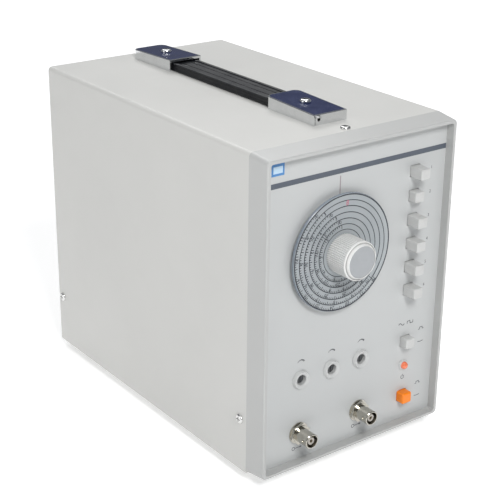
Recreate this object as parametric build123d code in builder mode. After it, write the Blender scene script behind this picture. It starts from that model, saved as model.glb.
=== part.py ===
from build123d import *
import math
import os

os.makedirs("parts", exist_ok=True)

# Bench signal generator in a portrait steel case.
# Millimetres. X is to the operator's right, Y runs from front to back, Z is up.
# The origin is on the bench, under the centre of the overall box.

# Case
CASE_WIDTH = 150.0
CASE_HEIGHT = 210.0
CASE_DEPTH = 253.0
SHEET = 1.2
BEND_RADIUS = 3.0
REAR_LIP = 9.0
FOOT_HEIGHT = 6.0
KNOB_REACH = 17.0
REAR_REACH = 12.0

# Front bezel and panel
BEZEL_DEPTH = 16.0
BEZEL_DRAFT_SIDE = 1.25
BEZEL_DRAFT_TOP = 1.75
LIP_ROUNDING = 0.8
WINDOW_WIDTH = 142.8
WINDOW_HEIGHT = 202.2
WINDOW_CORNER = 1.5
PANEL_RECESS = 6.0
PANEL_THICKNESS = 2.0
PANEL_CLEARANCE = 0.1

# Base tray and rear panel
TRAY_SIDE_HEIGHT = 46.0
REAR_PANEL_WIDTH = 143.0
REAR_PANEL_THICKNESS = 1.5
REAR_PANEL_TOP_GAP = 3.5

# Screws
SCREW_HEAD_RADIUS = 3.2
SCREW_HEAD_HEIGHT = 1.5
SCREW_RADIUS = 1.45
SCREW_LENGTH = 8.0
SCREW_CLEARANCE_RADIUS = 1.7
SCREW_THREAD_RADIUS = 1.5
SIDE_SCREW_HEIGHT = 36.0
SIDE_SCREW_FRONT = 22.4
SIDE_SCREW_REAR = 245.0
TOP_SCREW_FRONT = 20.5
EAR_SIZE = 10.0
EAR_END = 30.0

# Frequency dial and knob
DIAL_X = -15.2
DIAL_HEIGHT = 139.7
DIAL_RADIUS = 37.7
DIAL_FACE = 1.0
DIAL_THICKNESS = 1.8
DIAL_CHAMFER = 0.4
KNOB_RADIUS = 12.4
KNOB_LENGTH = 16.3
KNOB_RIBS = 60
KNOB_GROOVE_RADIUS = 0.46
SHAFT_RADIUS = 3.0
SHAFT_FIT = 0.05

# Push buttons
BUTTON_X = 45.8
BUTTON_WIDTH = 7.4
BUTTON_HEIGHT = 6.9
BUTTON_GAP = 0.35
BUTTON_TRAVEL = 4.0
BUTTON_OUT = 10.0
BUTTON_ROUNDING = 0.75
BUTTON_CORNER = 0.8
STEM_SIZE = 5.0
STEM_LENGTH = 22.0
CAP_BEHIND_PANEL = 1.5
RANGE_TOP_HEIGHT = 178.6
RANGE_PITCH = 16.0
RANGE_COUNT = 6
LATCHED_RANGE = 2
MODE_HEIGHT = 61.6
POWER_HEIGHT = 21.4
POWER_CAP_WIDTH = 8.0
POWER_CAP_HEIGHT = 7.6
POWER_ROUNDING = 1.3
SWITCH_WIDTH = 15.0
SWITCH_DEPTH = 28.0
SWITCH_WALL = 5.0

# Power lamp
LAMP_HEIGHT = 43.9
LAMP_RADIUS = 2.5
LAMP_HOLDER_RADIUS = 3.7

# Screwdriver adjusters
ADJUSTER_X = (-41.0, -16.6, 7.6)
ADJUSTER_HEIGHT = 59.8
ADJUSTER_RADIUS = 6.4
ADJUSTER_FACE_RADIUS = 5.6
ADJUSTER_PROUD = 2.0
ADJUSTER_HOLE_RADIUS = 3.5
ADJUSTER_SLEEVE_RADIUS = 4.7
ADJUSTER_SHAFT_RADIUS = 2.5
ADJUSTER_RECESS = 2.5
ADJUSTER_SLOT = 0.6
POT_RADIUS = 8.2
POT_LENGTH = 9.0

# Coaxial sockets
SOCKET_X = (-41.8, 7.4)
SOCKET_HEIGHT = 22.7
SOCKET_REACH = 14.0
SOCKET_RADIUS = 4.85
SOCKET_RIM_CHAMFER = 0.3
SOCKET_THREAD_SHOWING = 0.4
SOCKET_FLANGE_THICKNESS = 2.0
SOCKET_REAR = 12.0
SOCKET_BORE_RADIUS = 4.1
SOCKET_BORE_DEPTH = 8.5
SOCKET_INSERT_RADIUS = 3.15
SOCKET_CORE_RADIUS = 2.4
SOCKET_CORE_SETBACK = 1.0
SOCKET_THREAD_RADIUS = 5.9
SOCKET_NUT_WIDTH = 12.7
SOCKET_NUT_THICKNESS = 2.2
SOCKET_WASHER_RADIUS = 7.2
SOCKET_WASHER_THICKNESS = 0.8
LUG_RADIUS = 1.0
LUG_REACH = 5.6
LUG_FROM_FACE = 10.4

# Handle
HANDLE_WIDTH = 25.8
HANDLE_START = 34.5
HANDLE_END = 239.5
HANDLE_CAP_LENGTH = 48.5
HANDLE_CAP_LOW = 6.6
HANDLE_CAP_HIGH = 8.2
HANDLE_CAP_WALL = 1.1
HANDLE_CAP_CORNER = 5.0
HANDLE_BEVEL = 0.35
HANDLE_RIM = 0.9
INLAY_THICKNESS = 0.5
INLAY_GAP = 0.05
MOUTH_LIP = 0.1
DRAIN_RADIUS = 1.1
DRAIN_HEIGHT = 3.4
DRAIN_FRONT_X = 9.0
DRAIN_REAR_X = 5.0
SEAM_OFFSET = 2.9
SEAM_HEIGHT = 5.4
SEAM_WIDTH = 0.4
STRAP_GAP = 0.35
STRAP_WIDTH = 20.0
STRAP_LOW = 0.6
STRAP_HIGH = 5.7
STRAP_TONGUE_HIGH = 3.4
STRAP_RIM = 2.6
STRAP_DISH = 0.7
STRAP_GROOVE = 0.6
STRAP_LINE_SPACING = 6.4
HANDLE_SCREW_RADIUS = 2.0
HANDLE_SCREW_HEAD_RADIUS = 3.6
HANDLE_SCREW_HEAD_HEIGHT = 1.9

# Rear fittings
INLET_X = -38.0
INLET_HEIGHT = 45.0
FUSE_X = 7.0
FUSE_HEIGHT = 45.0

# Derived positions
front_y = KNOB_REACH - (KNOB_REACH + CASE_DEPTH + REAR_REACH) / 2
rear_y = front_y + CASE_DEPTH
seam_y = front_y + BEZEL_DEPTH
panel_face_y = front_y + PANEL_RECESS
panel_back_y = panel_face_y + PANEL_THICKNESS
bottom_z = FOOT_HEIGHT
top_z = bottom_z + CASE_HEIGHT
middle_z = bottom_z + CASE_HEIGHT / 2
floor_z = bottom_z + SHEET
tray_width = CASE_WIDTH - 2 * SHEET
pocket_width = tray_width - 2 * SHEET
pocket_height = CASE_HEIGHT - 4 * SHEET
rear_panel_y = rear_y - SHEET


def front_view(depth):
    """Sketch plane that faces the operator at the given Y."""
    return Plane.XZ.offset(-depth)


def write(piece, name):
    """Label a finished piece and write it as its own file."""
    piece.part.label = name
    export_step(piece.part, f"parts/{name}.step")


def add_screw(seat, head_radius, head_height, shank_radius, shank_length):
    """Add a cross-recessed pan-head screw whose head rests on the seat plane."""
    profile_plane = Plane(origin=seat.origin, x_dir=seat.x_dir, z_dir=-seat.y_dir)
    with BuildSketch(profile_plane) as half_profile:
        with BuildLine():
            Polyline((0, head_height), (0, -shank_length), (shank_radius, -shank_length))
            Polyline((shank_radius, -shank_length), (shank_radius, 0), (head_radius, 0))
            Line((head_radius, 0), (head_radius, 0.35 * head_height))
            ThreePointArc(
                (head_radius, 0.35 * head_height),
                (0.88 * head_radius, 0.78 * head_height),
                (0.6 * head_radius, head_height),
            )
            Line((0.6 * head_radius, head_height), (0, head_height))
        make_face()
    revolve(half_profile.sketch, axis=Axis(seat.origin, seat.z_dir))
    with BuildSketch(seat.offset(head_height)) as cross_recess:
        Rectangle(1.1 * head_radius, 0.22 * head_radius)
        Rectangle(0.22 * head_radius, 1.1 * head_radius)
    extrude(cross_recess.sketch, amount=-0.6 * head_height, mode=Mode.SUBTRACT)


def side_plane(side, y, z):
    """Plane on the outside of a case side, its normal pointing outwards."""
    return Plane(origin=(side * CASE_WIDTH / 2, y, z), x_dir=(0, 1, 0), z_dir=(side, 0, 0))


side_screw_z = bottom_z + SIDE_SCREW_HEIGHT
side_screw_points = [
    (front_y + SIDE_SCREW_FRONT, side_screw_z),
    (front_y + SIDE_SCREW_REAR, side_screw_z),
]
handle_screw_points = [
    (0, front_y + HANDLE_START + HANDLE_CAP_LENGTH / 2),
    (0, front_y + HANDLE_END - HANDLE_CAP_LENGTH / 2),
]
rear_screw_points = [
    (-CASE_WIDTH / 2 + 6, bottom_z + 20),
    (CASE_WIDTH / 2 - 6, bottom_z + 20),
    (-CASE_WIDTH / 2 + 6, top_z - 20),
    (CASE_WIDTH / 2 - 6, top_z - 20),
]

# ---------------------------------------------------------------- case shell

# Top and both sides in one bent sheet, with a narrow lip folded in at the back
with BuildPart() as top_cover:
    with BuildSketch(Plane.XY.offset(bottom_z)):
        with Locations((0, (seam_y + rear_y) / 2)):
            Rectangle(CASE_WIDTH, rear_y - seam_y)
    extrude(amount=CASE_HEIGHT)
    long_bends = top_cover.edges().filter_by(Axis.Y).group_by(Axis.Z)[-1]
    rear_bends = top_cover.edges().filter_by(Axis.Z).group_by(Axis.Y)[-1]
    rear_top_bend = top_cover.edges().filter_by(Axis.X).group_by(Axis.Y)[-1].sort_by(Axis.Z)[-1:]
    fillet(long_bends + rear_bends + rear_top_bend, radius=BEND_RADIUS)
    front_opening = top_cover.faces().sort_by(Axis.Y)[0]
    floor_opening = top_cover.faces().sort_by(Axis.Z)[0]
    offset(amount=-SHEET, openings=[front_opening, floor_opening])
    with BuildSketch(front_view(rear_y)):
        with Locations((0, middle_z - REAR_LIP / 2)):
            Rectangle(CASE_WIDTH - 2 * REAR_LIP, CASE_HEIGHT - REAR_LIP)
    extrude(amount=SHEET, mode=Mode.SUBTRACT)
    with BuildSketch(Plane.YZ):
        with Locations(*side_screw_points):
            Circle(SCREW_CLEARANCE_RADIUS)
    extrude(amount=CASE_WIDTH, both=True, mode=Mode.SUBTRACT)
    with BuildSketch(Plane.XY.offset(top_z)):
        with Locations((0, front_y + TOP_SCREW_FRONT)):
            Circle(SCREW_CLEARANCE_RADIUS)
        with Locations(*handle_screw_points):
            Circle(HANDLE_SCREW_RADIUS + 0.15)
    extrude(amount=-SHEET, mode=Mode.SUBTRACT)
    with BuildSketch(front_view(rear_y)):
        with Locations(*rear_screw_points):
            Circle(SCREW_CLEARANCE_RADIUS)
    extrude(amount=SHEET, mode=Mode.SUBTRACT)
write(top_cover, "top_cover")

# Floor with two upturned sides that the cover slides over
VENT_LENGTH = 40.0
VENT_WIDTH = 3.0
with BuildPart() as base_tray:
    with BuildSketch(front_view(seam_y)):
        with Locations((0, bottom_z + TRAY_SIDE_HEIGHT / 2)):
            Rectangle(tray_width, TRAY_SIDE_HEIGHT)
        with Locations((0, floor_z + TRAY_SIDE_HEIGHT / 2)):
            Rectangle(pocket_width, TRAY_SIDE_HEIGHT, mode=Mode.SUBTRACT)
    extrude(amount=-(rear_y - BEND_RADIUS - seam_y))
    with BuildSketch(Plane.YZ):
        with Locations(*side_screw_points):
            Circle(SCREW_THREAD_RADIUS)
    extrude(amount=CASE_WIDTH, both=True, mode=Mode.SUBTRACT)
    with BuildSketch(Plane.XY.offset(bottom_z)):
        with GridLocations(9, 0, 8, 1):
            SlotOverall(VENT_LENGTH, VENT_WIDTH, rotation=90)
    extrude(amount=SHEET, mode=Mode.SUBTRACT)
    with BuildSketch(Plane.XY.offset(bottom_z)):
        with Locations((0, (front_y + rear_y) / 2)):
            with GridLocations(104, 180, 2, 2):
                Circle(SCREW_CLEARANCE_RADIUS)
    extrude(amount=SHEET, mode=Mode.SUBTRACT)
write(base_tray, "base_tray")

# Drafted frame round the recessed panel, with ears that take the cover screws
with BuildPart() as front_bezel:
    with BuildSketch(front_view(seam_y)):
        with Locations((0, middle_z)):
            RectangleRounded(CASE_WIDTH, CASE_HEIGHT, BEND_RADIUS)
    with BuildSketch(front_view(front_y)):
        with Locations((0, middle_z)):
            RectangleRounded(
                CASE_WIDTH - 2 * BEZEL_DRAFT_SIDE,
                CASE_HEIGHT - 2 * BEZEL_DRAFT_TOP,
                BEND_RADIUS,
            )
    loft()
    fillet(front_bezel.edges().group_by(Axis.Y)[0], radius=LIP_ROUNDING)
    with BuildSketch(front_view(front_y)):
        with Locations((0, middle_z)):
            RectangleRounded(WINDOW_WIDTH, WINDOW_HEIGHT, WINDOW_CORNER)
    extrude(amount=-PANEL_RECESS, mode=Mode.SUBTRACT)
    with BuildSketch(front_view(panel_face_y)):
        with Locations((0, middle_z)):
            RectangleRounded(pocket_width, pocket_height, WINDOW_CORNER)
    extrude(amount=-(BEZEL_DEPTH - PANEL_RECESS), mode=Mode.SUBTRACT)
    with BuildSketch(front_view(panel_back_y)):
        with Locations(
            (-(pocket_width - EAR_SIZE) / 2, side_screw_z),
            ((pocket_width - EAR_SIZE) / 2, side_screw_z),
        ):
            Rectangle(EAR_SIZE, EAR_SIZE)
    extrude(amount=-(front_y + EAR_END - panel_back_y))
    with BuildSketch(front_view(panel_back_y)):
        with Locations((0, top_z - 2 * SHEET - EAR_SIZE / 2)):
            Rectangle(1.6 * EAR_SIZE, EAR_SIZE)
    extrude(amount=-(front_y + EAR_END - panel_back_y))
    with BuildSketch(front_view(seam_y)):
        with Locations((0, top_z - 1.5 * SHEET)):
            Rectangle(1.6 * EAR_SIZE, SHEET)
    extrude(amount=-(front_y + EAR_END - seam_y))
    with BuildSketch(Plane.YZ):
        with Locations(side_screw_points[0]):
            Circle(SCREW_THREAD_RADIUS)
    extrude(amount=pocket_width / 2, both=True, mode=Mode.SUBTRACT)
    with BuildSketch(Plane.XY.offset(top_z - SHEET)):
        with Locations((0, front_y + TOP_SCREW_FRONT)):
            Circle(SCREW_THREAD_RADIUS)
    extrude(amount=-EAR_SIZE, mode=Mode.SUBTRACT)
write(front_bezel, "front_bezel")

# Flat panel that carries every front control
range_heights = [bottom_z + RANGE_TOP_HEIGHT - i * RANGE_PITCH for i in range(RANGE_COUNT)]
mode_z = bottom_z + MODE_HEIGHT
power_z = bottom_z + POWER_HEIGHT
dial_z = bottom_z + DIAL_HEIGHT
adjuster_z = bottom_z + ADJUSTER_HEIGHT
socket_z = bottom_z + SOCKET_HEIGHT
lamp_z = bottom_z + LAMP_HEIGHT
button_heights = range_heights + [mode_z]
BUSHING_RADIUS = 5.0
POST_RADIUS = 2.5
POST_SPACING = 36.0
POST_THREAD_RADIUS = 1.2
with BuildPart() as front_panel:
    with BuildSketch(front_view(panel_face_y)):
        with Locations((0, middle_z)):
            RectangleRounded(
                pocket_width - 2 * PANEL_CLEARANCE,
                pocket_height - 2 * PANEL_CLEARANCE,
                WINDOW_CORNER,
            )
        with Locations(*[(BUTTON_X, z) for z in button_heights]):
            Rectangle(
                BUTTON_WIDTH + 2 * BUTTON_GAP,
                BUTTON_HEIGHT + 2 * BUTTON_GAP,
                mode=Mode.SUBTRACT,
            )
        with Locations((BUTTON_X, power_z)):
            RectangleRounded(
                POWER_CAP_WIDTH + 2 * BUTTON_GAP,
                POWER_CAP_HEIGHT + 2 * BUTTON_GAP,
                POWER_ROUNDING + BUTTON_GAP,
                mode=Mode.SUBTRACT,
            )
        with Locations((DIAL_X, dial_z)):
            Circle(BUSHING_RADIUS, mode=Mode.SUBTRACT)
        with Locations((BUTTON_X, lamp_z)):
            Circle(LAMP_RADIUS + 0.6, mode=Mode.SUBTRACT)
        with Locations(*[(x, adjuster_z) for x in ADJUSTER_X]):
            Circle(ADJUSTER_SLEEVE_RADIUS, mode=Mode.SUBTRACT)
        with Locations(*[(x, socket_z) for x in SOCKET_X]):
            Circle(SOCKET_THREAD_RADIUS + 0.1, mode=Mode.SUBTRACT)
    extrude(amount=-PANEL_THICKNESS)
write(front_panel, "front_panel")

# Rear panel behind the cover's lip, with the mains cut-out, fuse hole and vents
INLET_CUT_WIDTH = 28.0
INLET_CUT_HEIGHT = 20.6
INLET_SCREW_SPACING = 40.0
FUSE_BODY_RADIUS = 6.0
with BuildPart() as rear_panel:
    with BuildSketch(front_view(rear_panel_y)):
        with Locations((0, (floor_z + top_z - REAR_PANEL_TOP_GAP) / 2)):
            Rectangle(REAR_PANEL_WIDTH, top_z - REAR_PANEL_TOP_GAP - floor_z)
        with Locations((INLET_X, bottom_z + INLET_HEIGHT)):
            Rectangle(INLET_CUT_WIDTH, INLET_CUT_HEIGHT, mode=Mode.SUBTRACT)
            with GridLocations(INLET_SCREW_SPACING, 0, 2, 1):
                Circle(SCREW_THREAD_RADIUS, mode=Mode.SUBTRACT)
        with Locations((FUSE_X, bottom_z + FUSE_HEIGHT)):
            Circle(FUSE_BODY_RADIUS + 0.1, mode=Mode.SUBTRACT)
        with Locations((0, bottom_z + 145)):
            with GridLocations(8, 0, 12, 1):
                SlotOverall(60, VENT_WIDTH, rotation=90, mode=Mode.SUBTRACT)
        with Locations(*rear_screw_points):
            Circle(SCREW_THREAD_RADIUS, mode=Mode.SUBTRACT)
    extrude(amount=REAR_PANEL_THICKNESS)
write(rear_panel, "rear_panel")

# Screws through the cover: two in each side and one in the top
with BuildPart() as cover_screws:
    for side in (-1, 1):
        for y, z in side_screw_points:
            add_screw(
                side_plane(side, y, z),
                SCREW_HEAD_RADIUS,
                SCREW_HEAD_HEIGHT,
                SCREW_RADIUS,
                SCREW_LENGTH,
            )
    add_screw(
        Plane.XY.offset(top_z).shift_origin((0, front_y + TOP_SCREW_FRONT, top_z)),
        SCREW_HEAD_RADIUS,
        SCREW_HEAD_HEIGHT,
        SCREW_RADIUS,
        SCREW_LENGTH,
    )
write(cover_screws, "cover_screws")

# Screws that hold the rear panel to the cover's lip
with BuildPart() as rear_screws:
    for x, z in rear_screw_points:
        add_screw(
            Plane(origin=(x, rear_y, z), x_dir=(1, 0, 0), z_dir=(0, 1, 0)),
            SCREW_HEAD_RADIUS,
            SCREW_HEAD_HEIGHT,
            SCREW_RADIUS,
            0.6 * SCREW_LENGTH,
        )
write(rear_screws, "rear_screws")

# Four tapered rubber feet with a recess for their screws
FOOT_RADIUS = 9.0
FOOT_TAPER = 12.0
FOOT_RECESS_RADIUS = 4.0
FOOT_RECESS_DEPTH = 3.0
with BuildPart() as rubber_feet:
    with BuildSketch(Plane.XY.offset(bottom_z)):
        with Locations((0, (front_y + rear_y) / 2)):
            with GridLocations(104, 180, 2, 2):
                Circle(FOOT_RADIUS)
    extrude(amount=-FOOT_HEIGHT, taper=FOOT_TAPER)
    with BuildSketch(Plane.XY):
        with Locations((0, (front_y + rear_y) / 2)):
            with GridLocations(104, 180, 2, 2):
                Circle(FOOT_RECESS_RADIUS)
    extrude(amount=FOOT_RECESS_DEPTH, mode=Mode.SUBTRACT)
    with BuildSketch(Plane.XY):
        with Locations((0, (front_y + rear_y) / 2)):
            with GridLocations(104, 180, 2, 2):
                Circle(SCREW_CLEARANCE_RADIUS)
    extrude(amount=FOOT_HEIGHT, mode=Mode.SUBTRACT)
write(rubber_feet, "rubber_feet")

with BuildPart() as foot_screws:
    for x in (-52, 52):
        for y in (-90, 90):
            add_screw(
                Plane(
                    origin=(x, (front_y + rear_y) / 2 + y, FOOT_RECESS_DEPTH),
                    x_dir=(1, 0, 0),
                    z_dir=(0, 0, -1),
                ),
                SCREW_HEAD_RADIUS,
                SCREW_HEAD_HEIGHT,
                SCREW_RADIUS,
                SCREW_LENGTH - 1,
            )
write(foot_screws, "foot_screws")

# ---------------------------------------------------------------- handle

handle_middle_y = front_y + (HANDLE_START + HANDLE_END) / 2


def cap_height(distance, allowance):
    """Height of the cap's sloping top at a distance from its outer end."""
    rise = (HANDLE_CAP_HIGH - HANDLE_CAP_LOW) * distance / HANDLE_CAP_LENGTH
    return HANDLE_CAP_LOW + rise - allowance


def cap_wedge(end_y, inward, margin, drop):
    """Solid under the sloping top, inset by a margin, with its rear corners rounded."""
    near_y = end_y + inward * margin
    far_y = end_y + inward * (HANDLE_CAP_LENGTH - margin)
    near_z = top_z + cap_height(margin, drop)
    far_z = top_z + cap_height(HANDLE_CAP_LENGTH - margin, drop)
    with BuildPart() as wedge:
        with BuildSketch(Plane.YZ):
            with BuildLine():
                Polyline((near_y, top_z), (far_y, top_z), (far_y, far_z), (near_y, near_z), close=True)
            make_face()
        extrude(amount=HANDLE_WIDTH / 2 - margin, both=True)
        rear_uprights = wedge.edges().filter_by(Axis.Z).sort_by(Axis.Y)[-2:]
        fillet(rear_uprights, radius=HANDLE_CAP_CORNER - margin)
    return wedge.part


for cap_name, inlay_name, end_y, inward, mouth_width, drain_x in (
    ("handle_cap_front", "handle_inlay_front", front_y + HANDLE_START, 1,
     STRAP_WIDTH + 2 * STRAP_GAP, -DRAIN_FRONT_X),
    ("handle_cap_rear", "handle_inlay_rear", front_y + HANDLE_END, -1,
     HANDLE_WIDTH - 2 * HANDLE_CAP_WALL - 2 * MOUTH_LIP, DRAIN_REAR_X),
):
    mouth_y = end_y + inward * HANDLE_CAP_LENGTH
    screw_y = end_y + inward * HANDLE_CAP_LENGTH / 2
    roof_thickness = HANDLE_CAP_WALL + INLAY_THICKNESS
    mouth_height = cap_height(HANDLE_CAP_LENGTH - 2 * HANDLE_CAP_WALL, roof_thickness) - MOUTH_LIP
    cap_body = cap_wedge(end_y, inward, 0, 0)
    cavity = cap_wedge(end_y, inward, HANDLE_CAP_WALL, roof_thickness)
    below_inlay = cap_wedge(end_y, inward, 0, INLAY_THICKNESS)
    recess_block = cap_wedge(end_y, inward, HANDLE_RIM, -HANDLE_CAP_HIGH)
    inlay_block = cap_wedge(end_y, inward, HANDLE_RIM + INLAY_GAP, 0)

    with BuildPart() as top_recess:
        add(recess_block)
        add(below_inlay, mode=Mode.SUBTRACT)

    # Pressed shell with a sloping top, open underneath and where the strap enters
    with BuildPart() as handle_cap:
        add(cap_body)
        chamfer(handle_cap.faces().sort_by(Axis.Z)[-1].edges(), length=HANDLE_BEVEL)
        add(top_recess.part, mode=Mode.SUBTRACT)
        add(cavity, mode=Mode.SUBTRACT)
        with BuildSketch(front_view(mouth_y)):
            with Locations((0, top_z + mouth_height / 2)):
                Rectangle(mouth_width, mouth_height)
        extrude(amount=inward * 2 * HANDLE_CAP_WALL, mode=Mode.SUBTRACT)
        with BuildSketch(Plane.XY.offset(top_z)):
            with Locations((0, screw_y)):
                Circle(HANDLE_SCREW_RADIUS + 0.15)
        extrude(amount=2 * HANDLE_CAP_HIGH, mode=Mode.SUBTRACT)
        with BuildSketch(front_view(end_y)):
            with Locations((drain_x, top_z + DRAIN_HEIGHT)):
                Circle(DRAIN_RADIUS)
            with Locations((drain_x - SEAM_OFFSET, top_z + SEAM_HEIGHT / 2)):
                Rectangle(SEAM_WIDTH, SEAM_HEIGHT)
        extrude(amount=-inward * HANDLE_CAP_WALL, mode=Mode.SUBTRACT)
    write(handle_cap, cap_name)

    # Thin glossy plate let into the sloping top
    with BuildPart() as handle_inlay:
        add(inlay_block)
        add(below_inlay, mode=Mode.SUBTRACT)
        with BuildSketch(Plane.XY.offset(top_z)):
            with Locations((0, screw_y)):
                Circle(HANDLE_SCREW_RADIUS + 0.15)
        extrude(amount=2 * HANDLE_CAP_HIGH, mode=Mode.SUBTRACT)
    write(handle_inlay, inlay_name)

# Moulded strap with raised edges; a thin slotted tongue runs under each cap
strap_bottom_z = top_z + STRAP_LOW
strap_thick_end = HANDLE_CAP_LENGTH - 6.0
tongue_half = handle_middle_y - front_y - HANDLE_START - HANDLE_CAP_LENGTH / 2 + 12.0
thick_half = handle_middle_y - front_y - HANDLE_START - strap_thick_end
slot_middle = (handle_screw_points[1][1] - handle_screw_points[0][1]) / 2
with BuildPart() as handle_strap:
    with BuildSketch(Plane.XY.offset(strap_bottom_z)):
        with Locations((0, handle_middle_y)):
            Rectangle(STRAP_WIDTH, 2 * tongue_half)
            with Locations((0, slot_middle), (0, -slot_middle)):
                SlotOverall(16, 6.4, rotation=90, mode=Mode.SUBTRACT)
    extrude(amount=STRAP_TONGUE_HIGH - STRAP_LOW)
    with BuildSketch(Plane.XY.offset(strap_bottom_z)):
        with Locations((0, handle_middle_y)):
            Rectangle(STRAP_WIDTH, 2 * thick_half)
    extrude(amount=STRAP_HIGH - STRAP_LOW)
    with BuildSketch(Plane.XY.offset(top_z + STRAP_HIGH)):
        with Locations((0, handle_middle_y)):
            Rectangle(STRAP_WIDTH - 2 * STRAP_RIM, 2 * thick_half)
    extrude(amount=-STRAP_DISH, mode=Mode.SUBTRACT)
    strap_top_edges = handle_strap.edges().filter_by(Axis.Y).group_by(Axis.Z)[-1]
    fillet(strap_top_edges, radius=0.6)
    with BuildSketch(front_view(handle_middle_y - thick_half)):
        with Locations((0, strap_bottom_z + (STRAP_HIGH - STRAP_LOW) / 2)):
            with GridLocations(STRAP_WIDTH, 3 * STRAP_GROOVE, 2, 2):
                Rectangle(STRAP_GROOVE, STRAP_GROOVE)
    extrude(amount=-2 * thick_half, mode=Mode.SUBTRACT)
    with BuildSketch(front_view(handle_middle_y - thick_half)):
        with Locations((0, top_z + STRAP_HIGH - STRAP_DISH)):
            with GridLocations(STRAP_LINE_SPACING, 0, 2, 1):
                Rectangle(STRAP_GROOVE, STRAP_GROOVE)
    extrude(amount=-2 * thick_half, mode=Mode.SUBTRACT)
write(handle_strap, "handle_strap")

# One screw through each cap into a plate under the case top
cap_top_at_screw = cap_height(HANDLE_CAP_LENGTH / 2, 0)
with BuildPart() as handle_screws:
    for x, y in handle_screw_points:
        add_screw(
            Plane(origin=(x, y, top_z + cap_top_at_screw + 0.15), x_dir=(1, 0, 0), z_dir=(0, 0, 1)),
            HANDLE_SCREW_HEAD_RADIUS,
            HANDLE_SCREW_HEAD_HEIGHT,
            HANDLE_SCREW_RADIUS,
            cap_top_at_screw + SHEET + 4,
        )
write(handle_screws, "handle_screws")

with BuildPart() as handle_nut_plates:
    with BuildSketch(Plane.XY.offset(top_z - SHEET)):
        with Locations(*handle_screw_points):
            RectangleRounded(22, 26, 2)
            Circle(HANDLE_SCREW_RADIUS + 0.05, mode=Mode.SUBTRACT)
    extrude(amount=-2)
write(handle_nut_plates, "handle_nut_plates")

# ---------------------------------------------------------------- tuning

dial_face_y = front_y + DIAL_FACE
knob_front_y = dial_face_y - KNOB_LENGTH
cap_front_y = front_y - KNOB_REACH
CAPACITOR_FRONT = 22.0
CAPACITOR_LENGTH = 40.0
CAPACITOR_WIDTH = 46.0
CAPACITOR_PLATE = 2.0
ROTOR_RADIUS = 17.0
VANE_THICKNESS = 0.8
VANE_PITCH = 4.0
VANE_COUNT = 7
capacitor_front_y = front_y + CAPACITOR_FRONT
capacitor_rear_y = capacitor_front_y + CAPACITOR_LENGTH

# Clear flat disc that carries the frequency scales
with BuildPart() as frequency_dial:
    with BuildSketch(front_view(dial_face_y)):
        with Locations((DIAL_X, dial_z)):
            Circle(DIAL_RADIUS)
            Circle(SHAFT_RADIUS + SHAFT_FIT, mode=Mode.SUBTRACT)
    extrude(amount=-DIAL_THICKNESS)
    chamfer(frequency_dial.edges().group_by(Axis.Y)[0].sort_by(SortBy.RADIUS)[-1:], length=DIAL_CHAMFER)
write(frequency_dial, "frequency_dial")

# Ribbed knob with a grooved front rim, a tapered nose and a seat for its cap
RIM_GROOVE_RADIUS = 11.8
NOSE_RADIUS = 11.0
NOSE_TAPER = 19.0
CAP_RADIUS = 10.0
CAP_DEPTH = 1.4
KNOB_RIM = 1.2
with BuildPart() as tuning_knob:
    with BuildSketch(front_view(dial_face_y)):
        with Locations((DIAL_X, dial_z)):
            Circle(KNOB_RADIUS)
            with PolarLocations(KNOB_RADIUS + 0.05, KNOB_RIBS):
                Circle(KNOB_GROOVE_RADIUS, mode=Mode.SUBTRACT)
    extrude(amount=KNOB_LENGTH - KNOB_RIM)
    with BuildSketch(front_view(knob_front_y + KNOB_RIM)):
        with Locations((DIAL_X, dial_z)):
            Circle(KNOB_RADIUS)
    extrude(amount=KNOB_RIM)
    chamfer(tuning_knob.edges().group_by(Axis.Y)[0], length=0.4)
    with BuildSketch(front_view(knob_front_y)):
        with Locations((DIAL_X, dial_z)):
            Circle(RIM_GROOVE_RADIUS)
            Circle(NOSE_RADIUS, mode=Mode.SUBTRACT)
    extrude(amount=-0.7, mode=Mode.SUBTRACT)
    with BuildSketch(front_view(knob_front_y)):
        with Locations((DIAL_X, dial_z)):
            Circle(NOSE_RADIUS)
    extrude(amount=KNOB_REACH + DIAL_FACE - KNOB_LENGTH, taper=NOSE_TAPER)
    with BuildSketch(front_view(cap_front_y)):
        with Locations((DIAL_X, dial_z)):
            Circle(CAP_RADIUS + 0.05)
    extrude(amount=-CAP_DEPTH, mode=Mode.SUBTRACT)
    with BuildSketch(front_view(dial_face_y)):
        with Locations((DIAL_X, dial_z)):
            Circle(SHAFT_RADIUS + SHAFT_FIT)
    extrude(amount=KNOB_LENGTH - 4, mode=Mode.SUBTRACT)
write(tuning_knob, "tuning_knob")

with BuildPart() as knob_cap:
    with BuildSketch(front_view(cap_front_y + CAP_DEPTH)):
        with Locations((DIAL_X, dial_z)):
            Circle(CAP_RADIUS)
    extrude(amount=CAP_DEPTH)
    chamfer(knob_cap.edges().group_by(Axis.Y)[0], length=0.25)
write(knob_cap, "knob_cap")

with BuildPart() as tuning_shaft:
    with BuildSketch(front_view(knob_front_y + 4)):
        with Locations((DIAL_X, dial_z)):
            Circle(SHAFT_RADIUS)
    extrude(amount=-(capacitor_rear_y + 4 - knob_front_y - 4))
write(tuning_shaft, "tuning_shaft")

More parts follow.
